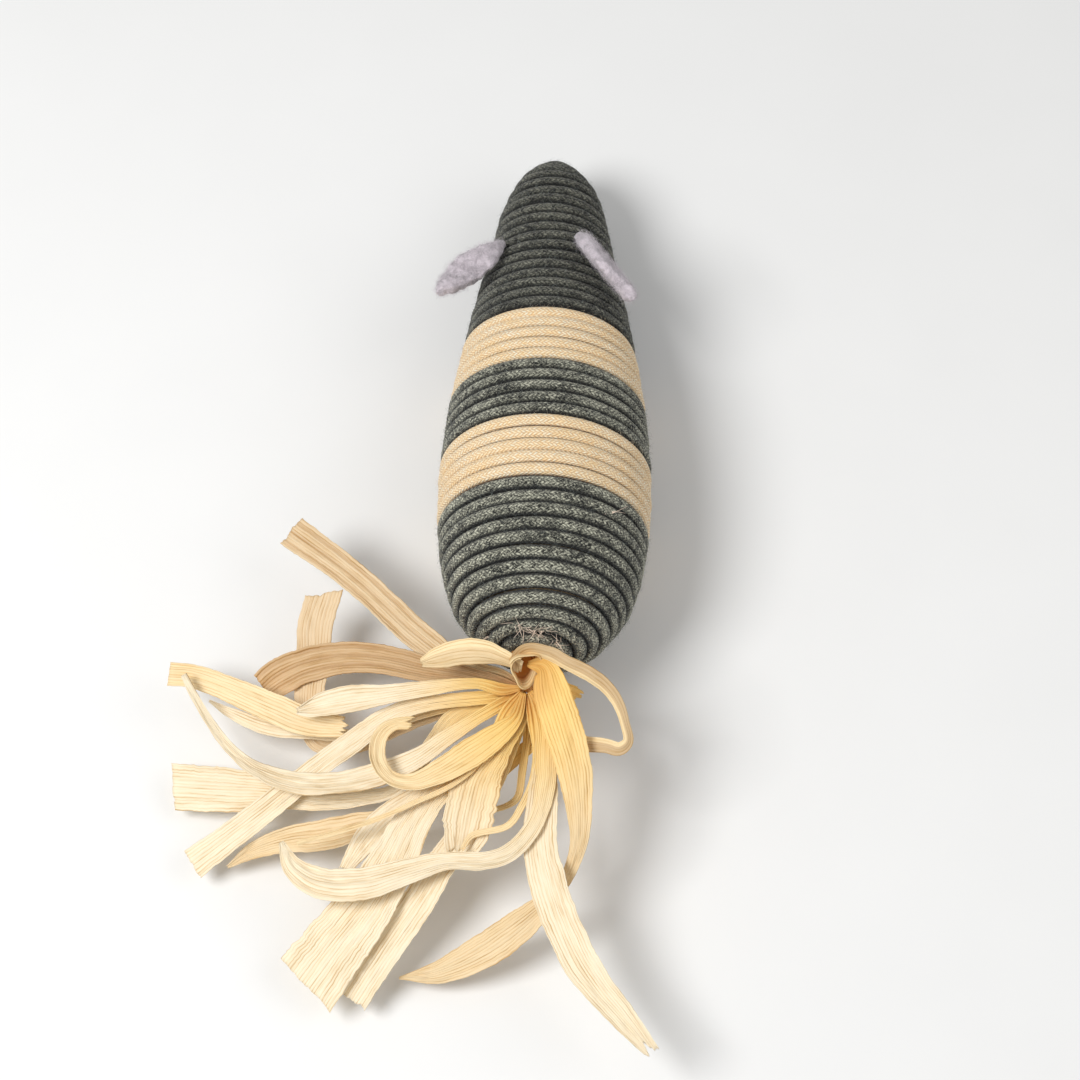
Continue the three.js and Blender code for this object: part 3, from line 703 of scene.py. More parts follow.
def cord_tree():
    """A line becomes a braided cord, flattened on its core and where it rests on the floor."""
    nodes, given = geometry_tree(
        "Braided cord", Line="Geometry", Width="Float", Thickness="Float", Relief="Float", Strands="Int",
        Strand_Pitch="Float", Step="Float", Sides="Int", Cord="Material")
    width = given["Width"]
    place = nodes.add("InputPosition")
    spline = nodes.add("SplineParameter")
    rail = nodes.add("MeshToCurve", given["Line"])
    rail = nodes.add("ResampleCurve", rail, Length=given["Step"], mode="LENGTH")
    rail = nodes.stored(rail, "along", spline["Length"])
    rail = nodes.stored(rail, "centre", place, "FLOAT_VECTOR")
    total = spline["Length"] / spline["Factor"].of("MAXIMUM", 1e-6)
    to_end = spline["Length"].of("MINIMUM", total - spline["Length"])
    blunt = 1.0 - (1.0 - (to_end / width).of("MINIMUM", 0.5) * 2.0) ** 2.0
    taper = blunt.of("MAXIMUM", 0.0).of("SQRT")

    ring = nodes.add("CurveArc", Resolution=given["Sides"] + 1.0, Sweep_Angle=tau, Radius=width * 0.5)
    ring = nodes.stored(ring, "around", spline["Factor"])
    tube = nodes.add("CurveToMesh", rail, ring, Scale=taper)
    uneven = nodes.add("TexNoise", Scale=420.0, Detail=2.0)["Color"]
    uneven = nodes.scaled(nodes.moved("SUBTRACT", uneven, (0.5, 0.5, 0.5)), 0.8)
    uneven = nodes.add("SeparateXYZ", uneven)
    turn = nodes.attribute("around") * given["Strands"] + uneven["X"]
    run = nodes.attribute("along") / given["Strand Pitch"] + uneven["Y"]
    tube = nodes.stored(tube, "UVMap", nodes.add("CombineXYZ", turn, run), "FLOAT2", "CORNER")
    tube = nodes.add("MergeByDistance", tube, Distance=0.004 * MM)

    outward = nodes.attribute("outward", "FLOAT_VECTOR")
    offset = nodes.moved("SUBTRACT", place, nodes.attribute("centre", "FLOAT_VECTOR"))
    standing = nodes.moved("DOT_PRODUCT", offset, outward)
    squash = nodes.scaled(outward, standing * (given["Thickness"] / width - 1.0))
    # How far each place stands out towards the outside of the body, 1 on the crown and 0 at the sides; the
    # material paints shade where it is low
    tube = nodes.stored(tube, "crown", standing / (width * 0.5))
    height = braid_height(nodes, *braid(turn, run)) - 1.0
    relief = nodes.scaled(nodes.add("InputNormal"), height * given["Relief"])
    moved = nodes.moved("ADD", nodes.moved("ADD", place, squash), relief)
    cord = nodes.add("SetPosition", tube, Position=nodes.above_floor(moved))
    cord = nodes.add("RealizeInstances", nodes.add("SetShadeSmooth", cord))
    nodes.add("NodeGroupOutput", nodes.add("SetMaterial", cord, Material=given["Cord"]))
    return nodes.tree


def fuzz_tree():
    """Bent stray fibres, scattered over a surface where its weight is above zero."""
    nodes, given = geometry_tree(
        "Stray fibres", Surface="Geometry", Density="Float", Length="Float", Fibre_Width="Float",
        Lean="Float", Seed="Int", Fibre="Material")
    scatter = nodes.add("DistributePointsOnFaces", given["Surface"], Seed=given["Seed"],
                        Density=given["Density"] * nodes.attribute("fuzz"))
    fibre = nodes.add("CurveQuadraticBezier", Resolution=4, Start=(0, 0, -0.03),
                      Middle=(0.1, 0.05, 0.6), End=(0.75, 0.2, 0.75))
    hair = nodes.add("CurvePrimitiveCircle", Resolution=3,
                     Radius=given["Fibre Width"] / (given["Length"] * 2.0))
    thin = 1.0 - nodes.add("SplineParameter")["Factor"] * 0.6
    strand = nodes.add("CurveToMesh", fibre, hair, Scale=thin, Fill_Caps=True)
    spin = nodes.add("RandomValue", Max=tau, Seed=given["Seed"], data_type="FLOAT")
    spin = nodes.add("AxisAngleToRotation", Axis=(0, 0, 1), Angle=spin)
    facing = nodes.add("RotateRotation", scatter["Rotation"], spin, rotation_space="LOCAL")
    size = nodes.add("RandomValue", Min=0.3, Seed=given["Seed"] + 1.0, data_type="FLOAT")
    long = size * given["Length"]
    placed = nodes.add(
        "InstanceOnPoints", scatter, Instance=strand, Rotation=facing,
        Scale=nodes.add("CombineXYZ", long, long, long * given["Lean"]))
    real = nodes.add("RealizeInstances", placed)
    rested = nodes.above_floor(nodes.add("InputPosition"))
    real = nodes.add("SetPosition", real, Position=rested)
    nodes.add("NodeGroupOutput", nodes.add("SetMaterial", real, Material=given["Fibre"]))
    return nodes.tree


def cord_material(name, dark, light, gap, seam, full_shade_below=0.1, shade_ends_above=0.7, roughness=0.85):
    """Heather cord: fibres streak along each strand. Painted shade darkens the gaps between strands and the
    sides of each turn, where it meets the next.
    """
    nodes = new_material(name)
    top, families = braid(*nodes.uv())
    height = braid_height(nodes, top, families)
    tones = []
    for family in families:
        spot = nodes.add("CombineXYZ", family["across"] * 4.6, family["along"] * 1.7, family["float"] * 7.3)
        fibres = nodes.add("TexNoise", Vector=spot, Scale=1.0, Detail=4.0, Roughness=0.75)
        own = nodes.add("CombineXYZ", family["strand"], family["float"])
        tones.append(fibres + (nodes.add("TexWhiteNoise", own, noise_dimensions="3D") - 0.5) * 0.14)
    fibres = nodes.mixed(top, tones[1], tones[0])
    nap, slow_change = nodes.noise(2600.0, 1.0, Distortion=1.0), nodes.noise(210.0, 3.0)
    tone = fibres * 0.58 + nap * 0.42 + (slow_change - 0.51) * 0.17
    colour = nodes.ramp(tone, (0.42, dark), (0.585, light))
    # Painted shade: the sides of each turn take the gap colour, and the low places between strands the seam
    # colour
    crown = nodes.add("Attribute", attribute_name="crown", attribute_type="GEOMETRY")["Fac"]
    out_of_shade = nodes.add("MapRange", Value=crown, From_Min=full_shade_below, From_Max=shade_ends_above,
                          To_Min=0.03, To_Max=1.0, interpolation_type="SMOOTHSTEP")
    colour = nodes.blended(out_of_shade, gap, nodes.blended(height ** 0.8, seam, colour))
    return nodes.finished(nodes.shader(
        colour, roughness, (height + (fibres + nap) * 0.6, 0.9, 0.22), Sheen_Weight=0.12,
        Sheen_Roughness=0.5, Specular_IOR_Level=0.3))


def fibre_material(name, colour):
    """Loose fibres, lighter and darker in patches."""
    nodes = new_material(name)
    tone = nodes.dimmed(nodes.noise(900.0), colour, 0.55, 0.35, 0.65)
    return nodes.finished(nodes.shader(tone, 0.7, Specular_IOR_Level=0.2))


def set_fuzz_weight(mesh):
    """Stray fibres grow only on the faces that look out of the body."""
    normals, ways = read(mesh.vertex_normals, "vector"), read(mesh.attributes["outward"].data, "vector")
    store(mesh, "fuzz", np.sum(normals * ways, axis=1) > 0.15)


def set_fray_weight(mesh):
    """Broken fibres stand in a few short patches."""
    places = read(mesh.vertices, "co") / MM
    weight = np.zeros(len(places))
    for middle, long, wide in fray_spots:
        away = (places - middle) / [long, wide, wide]
        weight = np.maximum(weight, np.clip(1.3 - np.linalg.norm(away, axis=1), 0, 1))
    store(mesh, "fuzz", weight)


def line_mesh(name, places, outward):
    """A line of points that know the way out of the body."""
    mesh = mesh_from(name, places, [], [(i, i + 1) for i in range(len(places) - 1)])
    store(mesh, "outward", outward)
    return mesh


def heather(cord, name, gap):
    """The grey cord of one band, darkened towards the nose by painted shade."""
    dark, light = (tuple(part * share for part in shade[:3]) + (1,)
                   for shade, share in zip((cord.grey_dark, cord.grey_light), heather_painted_shade[name]))
    # Its gap and seam colours are painted shade between the turns and between the strands
    return cord_material("Heather of " + name, dark, light, gap, linear(20, 23, 21), 0.38, 0.98, 0.7)


class MOUSE_OT_wind_cords(bpy.types.Operator):
    """Winds the five bands of braided cord round the body, with their stray fibres"""
    bl_idname = "mouse.wind_cords"
    bl_label = "Wind the cords"

    def execute(self, context):
        cord = context.scene.mouse_cord
        # The cream cord's gap and seam colours are painted shade between its turns and strands
        cream = cord_material("Cream cord", cord.cream_dark, cord.cream_light, linear(98, 62, 30),
                              linear(232, 184, 126), 0.06, 0.48, 0.55)
        fibres = {"grey": fibre_material("Grey stray fibre", linear(150, 158, 154)),
                  "cream": fibre_material("Cream stray fibre", linear(245, 228, 200))}
        winding, fuzz = cord_tree(), fuzz_tree()
        depth = cord.thickness / MM / 2
        width = winding_line(depth)[2][-1] / turns_along_body * MM
        for index, (name, (first, last, tone)) in enumerate(band_turns.items()):
            line = line_mesh(name, *wound_line(first, last, depth))
            wound = run_tree(
                "braided_" + name, line, winding, Width=width, Thickness=cord.thickness,
                Relief=cord.relief, Strands=cord.strands, Strand_Pitch=cord.strand_pitch, Step=cord_step * MM,
                # The gap colour of the grey heather is painted shade between the turns
                Sides=cord_sides, Cord=cream if tone == "cream" else heather(cord, name, linear(12, 13, 12)))
            set_fuzz_weight(wound.data)
            strays = [run_tree(
                "fuzz_on_" + name, wound.data.copy(), fuzz, Density=fuzz_density[tone] / MM ** 2,
                Length=cord.fuzz_length, Fibre_Width=stray_width * MM, Lean=stray_lean,
                Seed=cord.seed + index, Fibre=fibres[tone])]
            if name == "rear_cord":
                set_fray_weight(wound.data)
                strays.append(run_tree(
                    "frayed_ends", wound.data.copy(), fuzz, Density=frayed_density / MM ** 2,
                    Length=frayed_length * MM, Fibre_Width=frayed_width * MM, Lean=frayed_lean,
                    Seed=cord.seed, Fibre=fibre_material("Frayed fibre", linear(255, 234, 214))))
            drop_attributes(wound.data, "outward", "centre", "around", "along", "fuzz")
            hand_over(wound, "mouse_body", name)
            for stray in strays:
                hand_over(stray, "mouse_body")
        return {"FINISHED"}


# Ears

def felt_material(colour):
    """Pressed wool: matt, with a loose nap, and painted shade that darkens its hollows."""
    nodes = new_material("Lilac felt")
    nap = nodes.noise(1500.0, 6.0, Roughness=0.75, Distortion=1.5)
    tone = nap * 0.5 + nodes.noise(420.0, 3.0) * 0.5
    # The tone that darkens the colour is also the bump's height, so the hollows are darker: painted shade
    return nodes.finished(nodes.shader(
        nodes.dimmed(tone, colour, 0.4, 0.38, 0.58), 0.95, (tone, 0.9, 0.5), Sheen_Weight=0.35,
        Sheen_Roughness=0.6, Specular_IOR_Level=0.1))


def flap_room(from_root, place):
    """How far an ear stands off the body, so that it can flap towards it."""
    return ear_gap + place["room"] * from_root


def raised_clear(row, gap):
    """Points raised together towards the viewer, until they all stand off the body by the gap."""
    while np.linalg.norm(clear_of_body(row, gap) - row, axis=1).max() > touching:
        row = row + view_back * raising_step
    return row


def set_nap_weight(mesh, place):
    """Nap grows where it has room beside the body."""
    places = read(mesh.vertices, "co") / MM
    gap = flap_room(np.linalg.norm(places - place["root"], axis=1), place) + nap_room
    moved = np.linalg.norm(clear_of_body(places, gap) - places, axis=1)
    store(mesh, "fuzz", moved < 0.01)


def cut_ear(name, felt, place):
    """A pointed leaf of thick felt with rounded edges, cupped across and bent along."""
    width, thickness, length = felt.width / MM * place["wide"], felt.thickness / MM, place["length"]
    root, reach, side = (np.array(place[key], dtype=float) for key in ("root", "reach", "side"))
    reach /= np.linalg.norm(reach)
    side -= reach * (side @ reach)
    side /= np.linalg.norm(side)
    face = np.cross(reach, side)
    steps, ring = 48, 30
    tuck_start, tuck_end = ear_tuck_shares
    along = np.linspace(0, 1, steps)
    widths = np.interp(along, *zip(*ear_width_shares))
    widths = np.convolve(np.pad(widths, 2, mode="edge"), np.ones(5) / 5, mode="valid")
    widths[-1] = 0.02
    edges = [1 + ear_edge_share * wander(along * length, place["seed"] + 9 * k, ear_edge_spacing)
             for k in (0, 1)]
    angle = tau * np.arange(ring) / ring
    round_across, round_up = np.cos(angle), np.sin(angle)
    points = []
    for i, share in enumerate(along):
        across = widths[i] * width / 2 * np.sign(round_across) * abs(round_across) ** 0.8
        across = across * np.where(round_across > 0, edges[0][i], edges[1][i])
        plump = thickness / 2 * min(1, (widths[i] / 0.35) ** 0.5)
        height = plump * np.sign(round_up) * abs(round_up) ** 0.65
        height = height + place["cup"] * ((across / (width / 2)) ** 2 - 0.3) * widths[i]
        height = height + place["bend"] * share ** 2
        centre = root + reach * (share * (length + ear_root_reach) - ear_root_reach)
        row = centre + np.outer(across, side) + np.outer(height, face)
        clear = raised_clear(row, flap_room(share * length, place))
        tucked = 1 - ease((share - tuck_start) / (tuck_end - tuck_start))
        points.append(row * tucked + clear * (1 - tucked))
    ends = [tuple(range(ring))[::-1], tuple(range((steps - 1) * ring, steps * ring))]
    mesh = mesh_from("felt_" + name, np.vstack(points), ring_faces(steps, ring) + ends)
    face_outwards(mesh)
    roughen(mesh, ear_bumps, ear_bump_spacing, place["seed"])
    smooth(mesh)
    return mesh


class MOUSE_OT_cut_ears(bpy.types.Operator):
    """Cuts the two felt ears and raises their nap"""
    bl_idname = "mouse.cut_ears"
    bl_label = "Cut the ears"

    def execute(self, context):
        felt = context.scene.mouse_felt
        material = felt_material(felt.colour)
        nap = fibre_material("Felt nap", linear(240, 232, 238))
        fuzz = fuzz_tree()
        for name, place in ear_places.items():
            ear = piece("felt_" + name, cut_ear(name, felt, place), material)
            set_nap_weight(ear.data, place)
            stray = run_tree(
                "nap_on_" + name, ear.data.copy(), fuzz, Density=nap_density / MM ** 2,
                Length=felt.fuzz_length, Fibre_Width=nap_width * MM, Lean=nap_lean,
                Seed=place["seed"], Fibre=nap)
            drop_attributes(ear.data, "fuzz")
            hand_over(ear, place["body"], name)
            hand_over(stray, place["body"])
        return {"FINISHED"}


# Husk strips

def strip(fan, layer, tone, end, shares, **shape):
    """A strip of one fan: its layer, its tone, its far end and the spots of its route.

    A spot is how far right of the knot, how far below it and how wide, in thousandths of the tuft's
    reach. The shape holds the leans and heights at the spots, and what strip_grid takes."""
    return dict(fan=fan, layer=layer, tone=tone, end=end, shares=np.array(shares) / 1000, shape=shape)


husk_strips = {
    "husk_pleated_left": strip("left", 0.7, "tan", "cut", ribs=1.9, shares=[
        (-65, -30, 18), (-125, -40, 45), (-185, -65, 60), (-275, -130, 70), (-415, -255, 70),
        (-575, -370, 80)]),
    "husk_upright_left": strip("left", 1, "tan", "cut",
        slant=-0.45, leans=(0, 0, 0, -10, -15, -5, 5, 0), shares=[
        (-65, 12, 16), (-250, 70, 35), (-420, 135, 45), (-500, 130, 45), (-520, 50, 70), (-515, -50, 80),
        (-510, -150, 85), (-490, -220, 85)]),
    "husk_stub_right": strip("right", 1, "golden", "torn", shares=[
        (70, -4, 30), (85, 6, 40), (110, 18, 45)]),
    "husk_grey_arch": strip("left", 2, "grey", "cut",
        cup=0.7, ribs=1.6, leans=(0, 0, 8, 12, 5, -5, -12, -10), shares=[
        (-65, -12, 20), (-150, -30, 45), (-250, -45, 65), (-345, -65, 70), (-440, -70, 78),
        (-535, -50, 85), (-600, -18, 85), (-630, 6, 80)]),
    "husk_small_point": strip("lower", 2, "golden", "point", shares=[
        (12, 70, 15), (7, 120, 30), (-35, 160, 35), (-85, 225, 3)]),
    "husk_golden_left": strip("left", 3, "pale", "point", leans=(0, 0, 12, 20, 10, -5, -20, 0), shares=[
        (-65, 20, 16), (-200, 45, 25), (-310, 75, 30), (-405, 110, 30), (-500, 105, 35), (-620, 95, 35),
        (-700, 65, 25), (-760, 35, 4)]),
    "husk_thin_brown": strip("lower", 3, "golden", "point", shares=[
        (-4, 70, 10), (-7, 115, 18), (-17, 185, 18), (-30, 250, 16), (-60, 270, 12), (-100, 280, 12)]),
    "husk_broad_left": strip("left", 4, "pale", "cut", slant=-0.25, shares=[
        (-60, 30, 14), (-110, 35, 30), (-180, 70, 45), (-225, 125, 40), (-270, 195, 30), (-325, 240, 30),
        (-405, 255, 40), (-485, 260, 50), (-590, 245, 80), (-710, 240, 105), (-840, 235, 110)]),
    "husk_right_fold": strip("right", 4, "amber", "point",
        cup=0.4, crease=(-0.35, 0.5, 0.2), start=(0.5, 3.2, 5.3),
        heights=(6.2, 6.6, 6.7, 6.4, 5.5, 4.2, 2.7, 1.2, 0, -0.9, -1.5, -1.8), shares=[
        (34, -55, 50), (50, 0, 85), (78, 90, 90), (102, 180, 80), (113, 290, 55), (110, 350, 40),
        (85, 420, 30), (35, 480, 50), (-40, 545, 80), (-120, 600, 80), (-215, 645, 50), (-300, 660, 4)]),
    "husk_brown_left": strip("left", 5, "amber", "point",
        cup=0.6, leans=(0, 0, 0, 12, 18, 10, 0, -10, 0), shares=[
        (-45, 55, 16), (-130, 155, 20), (-215, 245, 30), (-320, 295, 45), (-405, 320, 70), (-485, 340, 75),
        (-560, 350, 60), (-640, 375, 40), (-705, 415, 6)]),
    "husk_long_diagonal": strip("left", 6, "pale", "cut", leans=(0, 0, 8, 12, 0, -10, 0, 0), shares=[
        (-65, 14, 16), (-240, 35, 35), (-320, 60, 45), (-415, 125, 60), (-510, 195, 55), (-590, 260, 60),
        (-685, 335, 65), (-785, 410, 75)]),
    "husk_short_under": strip("left", 6, "pale", "torn", shares=[
        (-40, 55, 14), (-150, 180, 30), (-270, 250, 50), (-345, 305, 60), (-390, 360, 55), (-430, 420, 30)]),
    "husk_lower_crossing": strip("lower", 7, "pale", "cut", leans=(0, 0, 10, 15, 8, 0, -8), shares=[
        (-20, 65, 18), (-85, 210, 50), (-145, 315, 60), (-200, 395, 75), (-250, 475, 80), (-320, 575, 75),
        (-405, 705, 70)]),
    "husk_leaf_left": strip("left", 8, "pale", "torn", cup=0.5, shares=[
        (-65, 0, 16), (-120, -14, 25), (-230, -4, 35), (-320, 10, 45), (-425, 25, 65), (-500, 40, 50),
        (-540, 50, 15)]),
    "husk_broad_pale": strip("lower", 8, "pale", "cut", slant=0.2, shares=[
        (-45, 50, 18), (-85, 110, 40), (-165, 185, 60), (-220, 235, 75), (-270, 305, 90), (-310, 385, 110),
        (-370, 485, 130), (-440, 575, 152), (-510, 670, 168)]),
    "husk_ribbed_curl": strip("lower", 9, "pale", "torn", ribs=1.5, curl=1.6, ragged=0.07, shares=[
        (-20, 65, 20), (-60, 125, 50), (-115, 200, 105), (-135, 270, 122), (-150, 330, 105),
        (-165, 370, 60)]),
    "husk_lower_right": strip("right", 9.4, "pale", "fork",
        cup=0.6, leans=(0, 0, 0, 12, 18, 8, 0, -8, -10, 0, 0), shares=[
        (25, 60, 20), (35, 150, 50), (30, 250, 70), (25, 340, 80), (45, 435, 90), (80, 530, 85),
        (120, 610, 80), (160, 665, 70), (200, 710, 60), (235, 750, 50), (270, 790, 35)]),
    "husk_thin_stalk": strip("left", 10, "golden", "point", shares=[
        (-50, 45, 8), (-120, 170, 10), (-185, 220, 12), (-260, 255, 12), (-340, 290, 12), (-445, 325, 12),
        (-535, 350, 8)]),
    "husk_thin_golden": strip("lower", 9.7, "golden", "point", shares=[
        (10, 70, 10), (14, 140, 14), (5, 210, 16), (-17, 260, 16), (-50, 305, 16), (-135, 330, 14),
        (-155, 360, 10)]),
    "husk_c_curve": strip("lower", 11, "pale", "point",
        cup=0.6, crease=(0.1, 0.3, 0.4), leans=(0, 0, 0, 0, 0, -10, -20, -15, 0, 15, 25, 25, 10), shares=[
        (20, 30, 30), (36, 80, 45), (40, 140, 45), (36, 210, 45), (15, 290, 40), (-40, 360, 40),
        (-110, 385, 40), (-190, 385, 40), (-275, 405, 58), (-380, 435, 78), (-475, 435, 74),
        (-540, 400, 45), (-570, 345, 10)]),
    "husk_left_curl": strip("left", 10.8, "golden", "torn",
        cup=0.6, leans=(0, 0, 0, 10, 25, 30, 25, 10, 0, 0), shares=[
        (-30, 60, 20), (-60, 90, 50), (-130, 140, 70), (-205, 185, 60), (-270, 210, 40), (-320, 200, 35),
        (-350, 155, 35), (-345, 105, 35), (-315, 80, 30), (-275, 75, 30)]),
}
folded_out_shares = np.array([
    (-60, 30, 14), (-120, 65, 30), (-190, 110, 40), (-270, 165, 50), (-360, 200, 60),
    (-450, 220, 58), (-545, 220, 52), (-625, 195, 42), (-690, 150, 25), (-745, 85, 20),
    (-785, 25, 18), (-815, -30, 14)]) / 1000
folded_back_shares = np.array([
    (-855, -30, 55), (-800, -25, 55), (-720, 0, 60), (-660, 25, 65), (-600, 50, 70),
    (-520, 80, 65), (-430, 90, 50)]) / 1000
folded_out_leans = (0, 0, 5, 10, 15, 25, 35, 40, 35, 25, 15, 0)


def tuft_to_world(points):
    return np.asarray(points) @ tuft_turn.T + knot


def on_layer(right, away, height):
    """Where a spot seen so far right of the knot and below it lies at a height in the tuft."""
    sideways = right * cos(look_lean) + away * sin(look_lean)
    upwards = right * sin(look_lean) - away * cos(look_lean)
    seen = np.array([view_right, view_up]) @ tuft_turn
    return np.linalg.solve(seen[:, :2], np.array([sideways, upwards]) - height * seen[:, 2])


def strip_route(shares, layer, leans=(), heights=(), lift=0.0):
    """The route of a strip in the tuft's frame: place, height, width, and lean to one side.

    The layers lie apart further out, where the husks spring up."""
    spots = []
    for index, (right, away, width) in enumerate(shares):
        apart = layer_pitch * (1 + hypot(right, away) * tuft_reach / layer_spread)
        height = heights[index] if heights else (layer - (top_layer - 1) / 2) * apart + lift
        a, b = on_layer(right * tuft_reach, away * tuft_reach, height)
        lean = radians(leans[index]) if leans else 0
        spots.append((a, b, height, max(width * tuft_reach, narrowest) / max(cos(lean), 0.5), lean))
    return spots


def led_to_knot(spots, start=None):
    """Gathers a strip at the knot, where it starts narrow beside the bundle's core."""
    a, b, height, width, lean = spots[0]
    if start:
        return [(*start, gathered_width, 0)] + spots
    inwards = strip_start / hypot(a, b)
    first = (a * inwards, b * inwards, height, gathered_width, 0)
    return [first, (a, b, height, max(width, fanned_width), lean)] + spots[1:]


def torn_end(style, across, seed):
    """How far the end of a strip runs on, in millimetres, at each place across it."""
    rng = np.random.default_rng(seed)
    place = (across + 1) / 2
    fine, coarse = (np.interp(place, np.linspace(0, 1, spots), rng.uniform(-1, 1, spots))
                    for spots in (19, 6))
    fine_reach, coarse_reach = torn_reach[style]
    tongue = -fork_depth * np.exp(-((place - 0.45) / 0.12) ** 2) if style == "fork" else 0
    return fine * fine_reach + coarse * coarse_reach + tongue


def toned(first, second, share):
    """A colour between two others."""
    return np.array(first) * (1 - share) + np.array(second) * share


def husk_tint(husk, tone, places, seed):
    """Golden by the knot and paler outwards, with the strip's own tone."""
    golden, pale, tan = (np.array(c) for c in (husk.golden, husk.pale, husk.tan))
    # The tan and grey tones, and the tan in amber, are painted shade on strips that lie low under the others
    outer = {"pale": pale, "golden": toned(pale, golden, 0.35),
             "amber": golden * 0.2 + tan * 0.5 + pale * 0.3,
             "tan": tan, "grey": tan * [0.84, 0.74, 0.62, 1]}[tone]
    near = {"tan": toned(tan, golden, 0.3), "grey": tan * [0.7, 0.58, 0.45, 1]}.get(tone, golden)
    away = np.hypot(places[..., 0], places[..., 1])[..., None]
    outward = ease((away - golden_reach) / np.random.default_rng(seed).uniform(*faded_reach))
    # Deep in the knot the tint goes towards the painted shade colour
    deep = 1 - ease((away - knot_shade_reach) / knot_shade_fade)
    return toned(toned(near, outer, outward), husk.knot_shade, knot_shade_share * deep)


def strip_grid(spots, style, husk, seed, cup=0.25, ribs=1.0, curl=0.0, wave=0.3, ragged=0.026,
               crease=None, slant=0.0, gathered=True):
    """A strip along its spots as a grid of places in the tuft's frame, its UV map, and its painted rib shade.

    The strip is cupped across, ribbed lengthwise, gathered into pleats near the knot and waved further
    out. A crease is (where across from -1 to 1, how steep on the left, how steep on the right)."""
    pitch, vein = husk.vein_pitch / MM, husk.vein_height / MM
    spots = np.asarray(spots)
    widest = spots[:, 3].max()
    rows = int(evenly(spots, 3, axes=3)[1] / strip_row) + 4
    columns = int(widest / pitch * 4) + 6
    line, length = evenly(spots, rows, axes=3)
    run = np.linspace(0, length, rows)
    heading = np.gradient(line[:, :2], axis=0)
    heading /= np.linalg.norm(heading, axis=1)[:, None]
    forward = np.column_stack([heading, np.zeros(rows)])
    flat = np.stack([-heading[:, 1], heading[:, 0], np.zeros(rows)], axis=1)
    lean = line[:, 4][:, None]
    upward = np.array([0, 0, 1.0])
    width_way = np.cos(lean) * flat + np.sin(lean) * upward
    face_way = np.cos(lean) * upward - np.sin(lean) * flat
    across = np.linspace(-1, 1, columns)
    coarse, fine = edge_spacings
    edge = [1 + ragged * wander(run, seed + side, coarse) + ragged * wander(run, seed + 5 + side, fine)
            for side in (0, 1)]
    ends = torn_end(style, across, seed)
    at_end = ease((run / length - torn_from_share) / (1 - torn_from_share))
    at_end = np.clip(line[:, 3] / widest * 1.5, 0, 1) * at_end
    far = ease((run - waves_from) / waves_over) if gathered else np.full(rows, 0.6)
    near = 1 - ease((run - pleats_from) / pleats_over) if gathered else np.zeros(rows)
    pleating = pleat_height * near * (0.35 + 0.65 * ease(run / pleats_rise))
    sway = wave * far * wander(run, seed + 11, sway_spacing)
    cupping = cup * (0.25 + 0.75 * far) * (0.6 + 0.4 * wander(run, seed + 13, cup_spacing))
    # How strongly the painted rib shade shows, changing slowly along the strip
    slow_change = 0.7 + 0.3 * wander(run, seed + 19, 9)
    near_end = np.clip((run - length * 0.7) / (length * 0.3), 0, 1)
    phase = np.random.default_rng(seed).uniform(0, tau, 4)
    places, uv, painted_rib_shade = (np.zeros((rows, columns, size)) for size in (3, 2, 1))
    for k, u in enumerate(across):
        half = line[:, 3] / 2 * edge[0 if u > 0 else 1]
        stretch = (ends[k] + slant * u * widest / 2) * at_end
        mm_across = u * widest / 2
        veins = cos(tau * mm_across / pitch + phase[0])
        ripple = cos(tau * mm_across / (pitch * 3.3) + phase[1])
        lift = vein * ribs * (veins + 0.8 * ribs * ripple) + pleating * cos(tau * u * 1.4 + phase[2])
        lift = lift + cupping * (u * u - 0.35) * np.minimum(half / full_cup_width, 1.2) + sway
        lift = lift + edge_wave * far * wander(run + 4 * (u + 1), seed + 17, 6) * abs(u) ** 2
        lift = lift - curl * near_end ** 2
        dents = [noise.noise(Vector((0.8 * mm_across, 0.4 * y, seed))) for y in run]
        lift = lift + crinkle * far * dents
        if crease:
            at, left, right = crease
            lift = lift - half * (right * max(u - at, 0) + left * max(at - u, 0)) * (0.3 + 0.7 * far)
        places[:, k] = (line[:, :3] + width_way * (u * half)[:, None]
                        + forward * stretch[:, None] + face_way * lift[:, None])
        uv[:, k] = np.stack([np.full(rows, mm_across + phase[0] / tau * pitch), run], axis=1)
        # Painted shade in the valleys between the ribs
        painted_rib_shade[:, k, 0] = (0.5 - 0.5 * ripple) ** 2.5 * min(ribs - 1, 1) * slow_change
    return places, uv, painted_rib_shade


def husk_sheet(name, places, uv, tint, husk, material, layers=1.0):
    """A strip of husk, from a grid of places in the tuft's frame, some layers thick."""
    mesh = sheet_mesh(name, tuft_to_world(places), husk.thickness / MM * layers, uv, tint)
    return piece(name, mesh, material)


def husk_bundle(name, rings, round_size, tint, material):
    """A gathered bundle of husk, in one tint."""
    mesh = tube_mesh(name, rings, round_size)
    add_tint(mesh, np.tile(tint, (len(mesh.vertices), 1)))
    return piece(name, mesh, material)


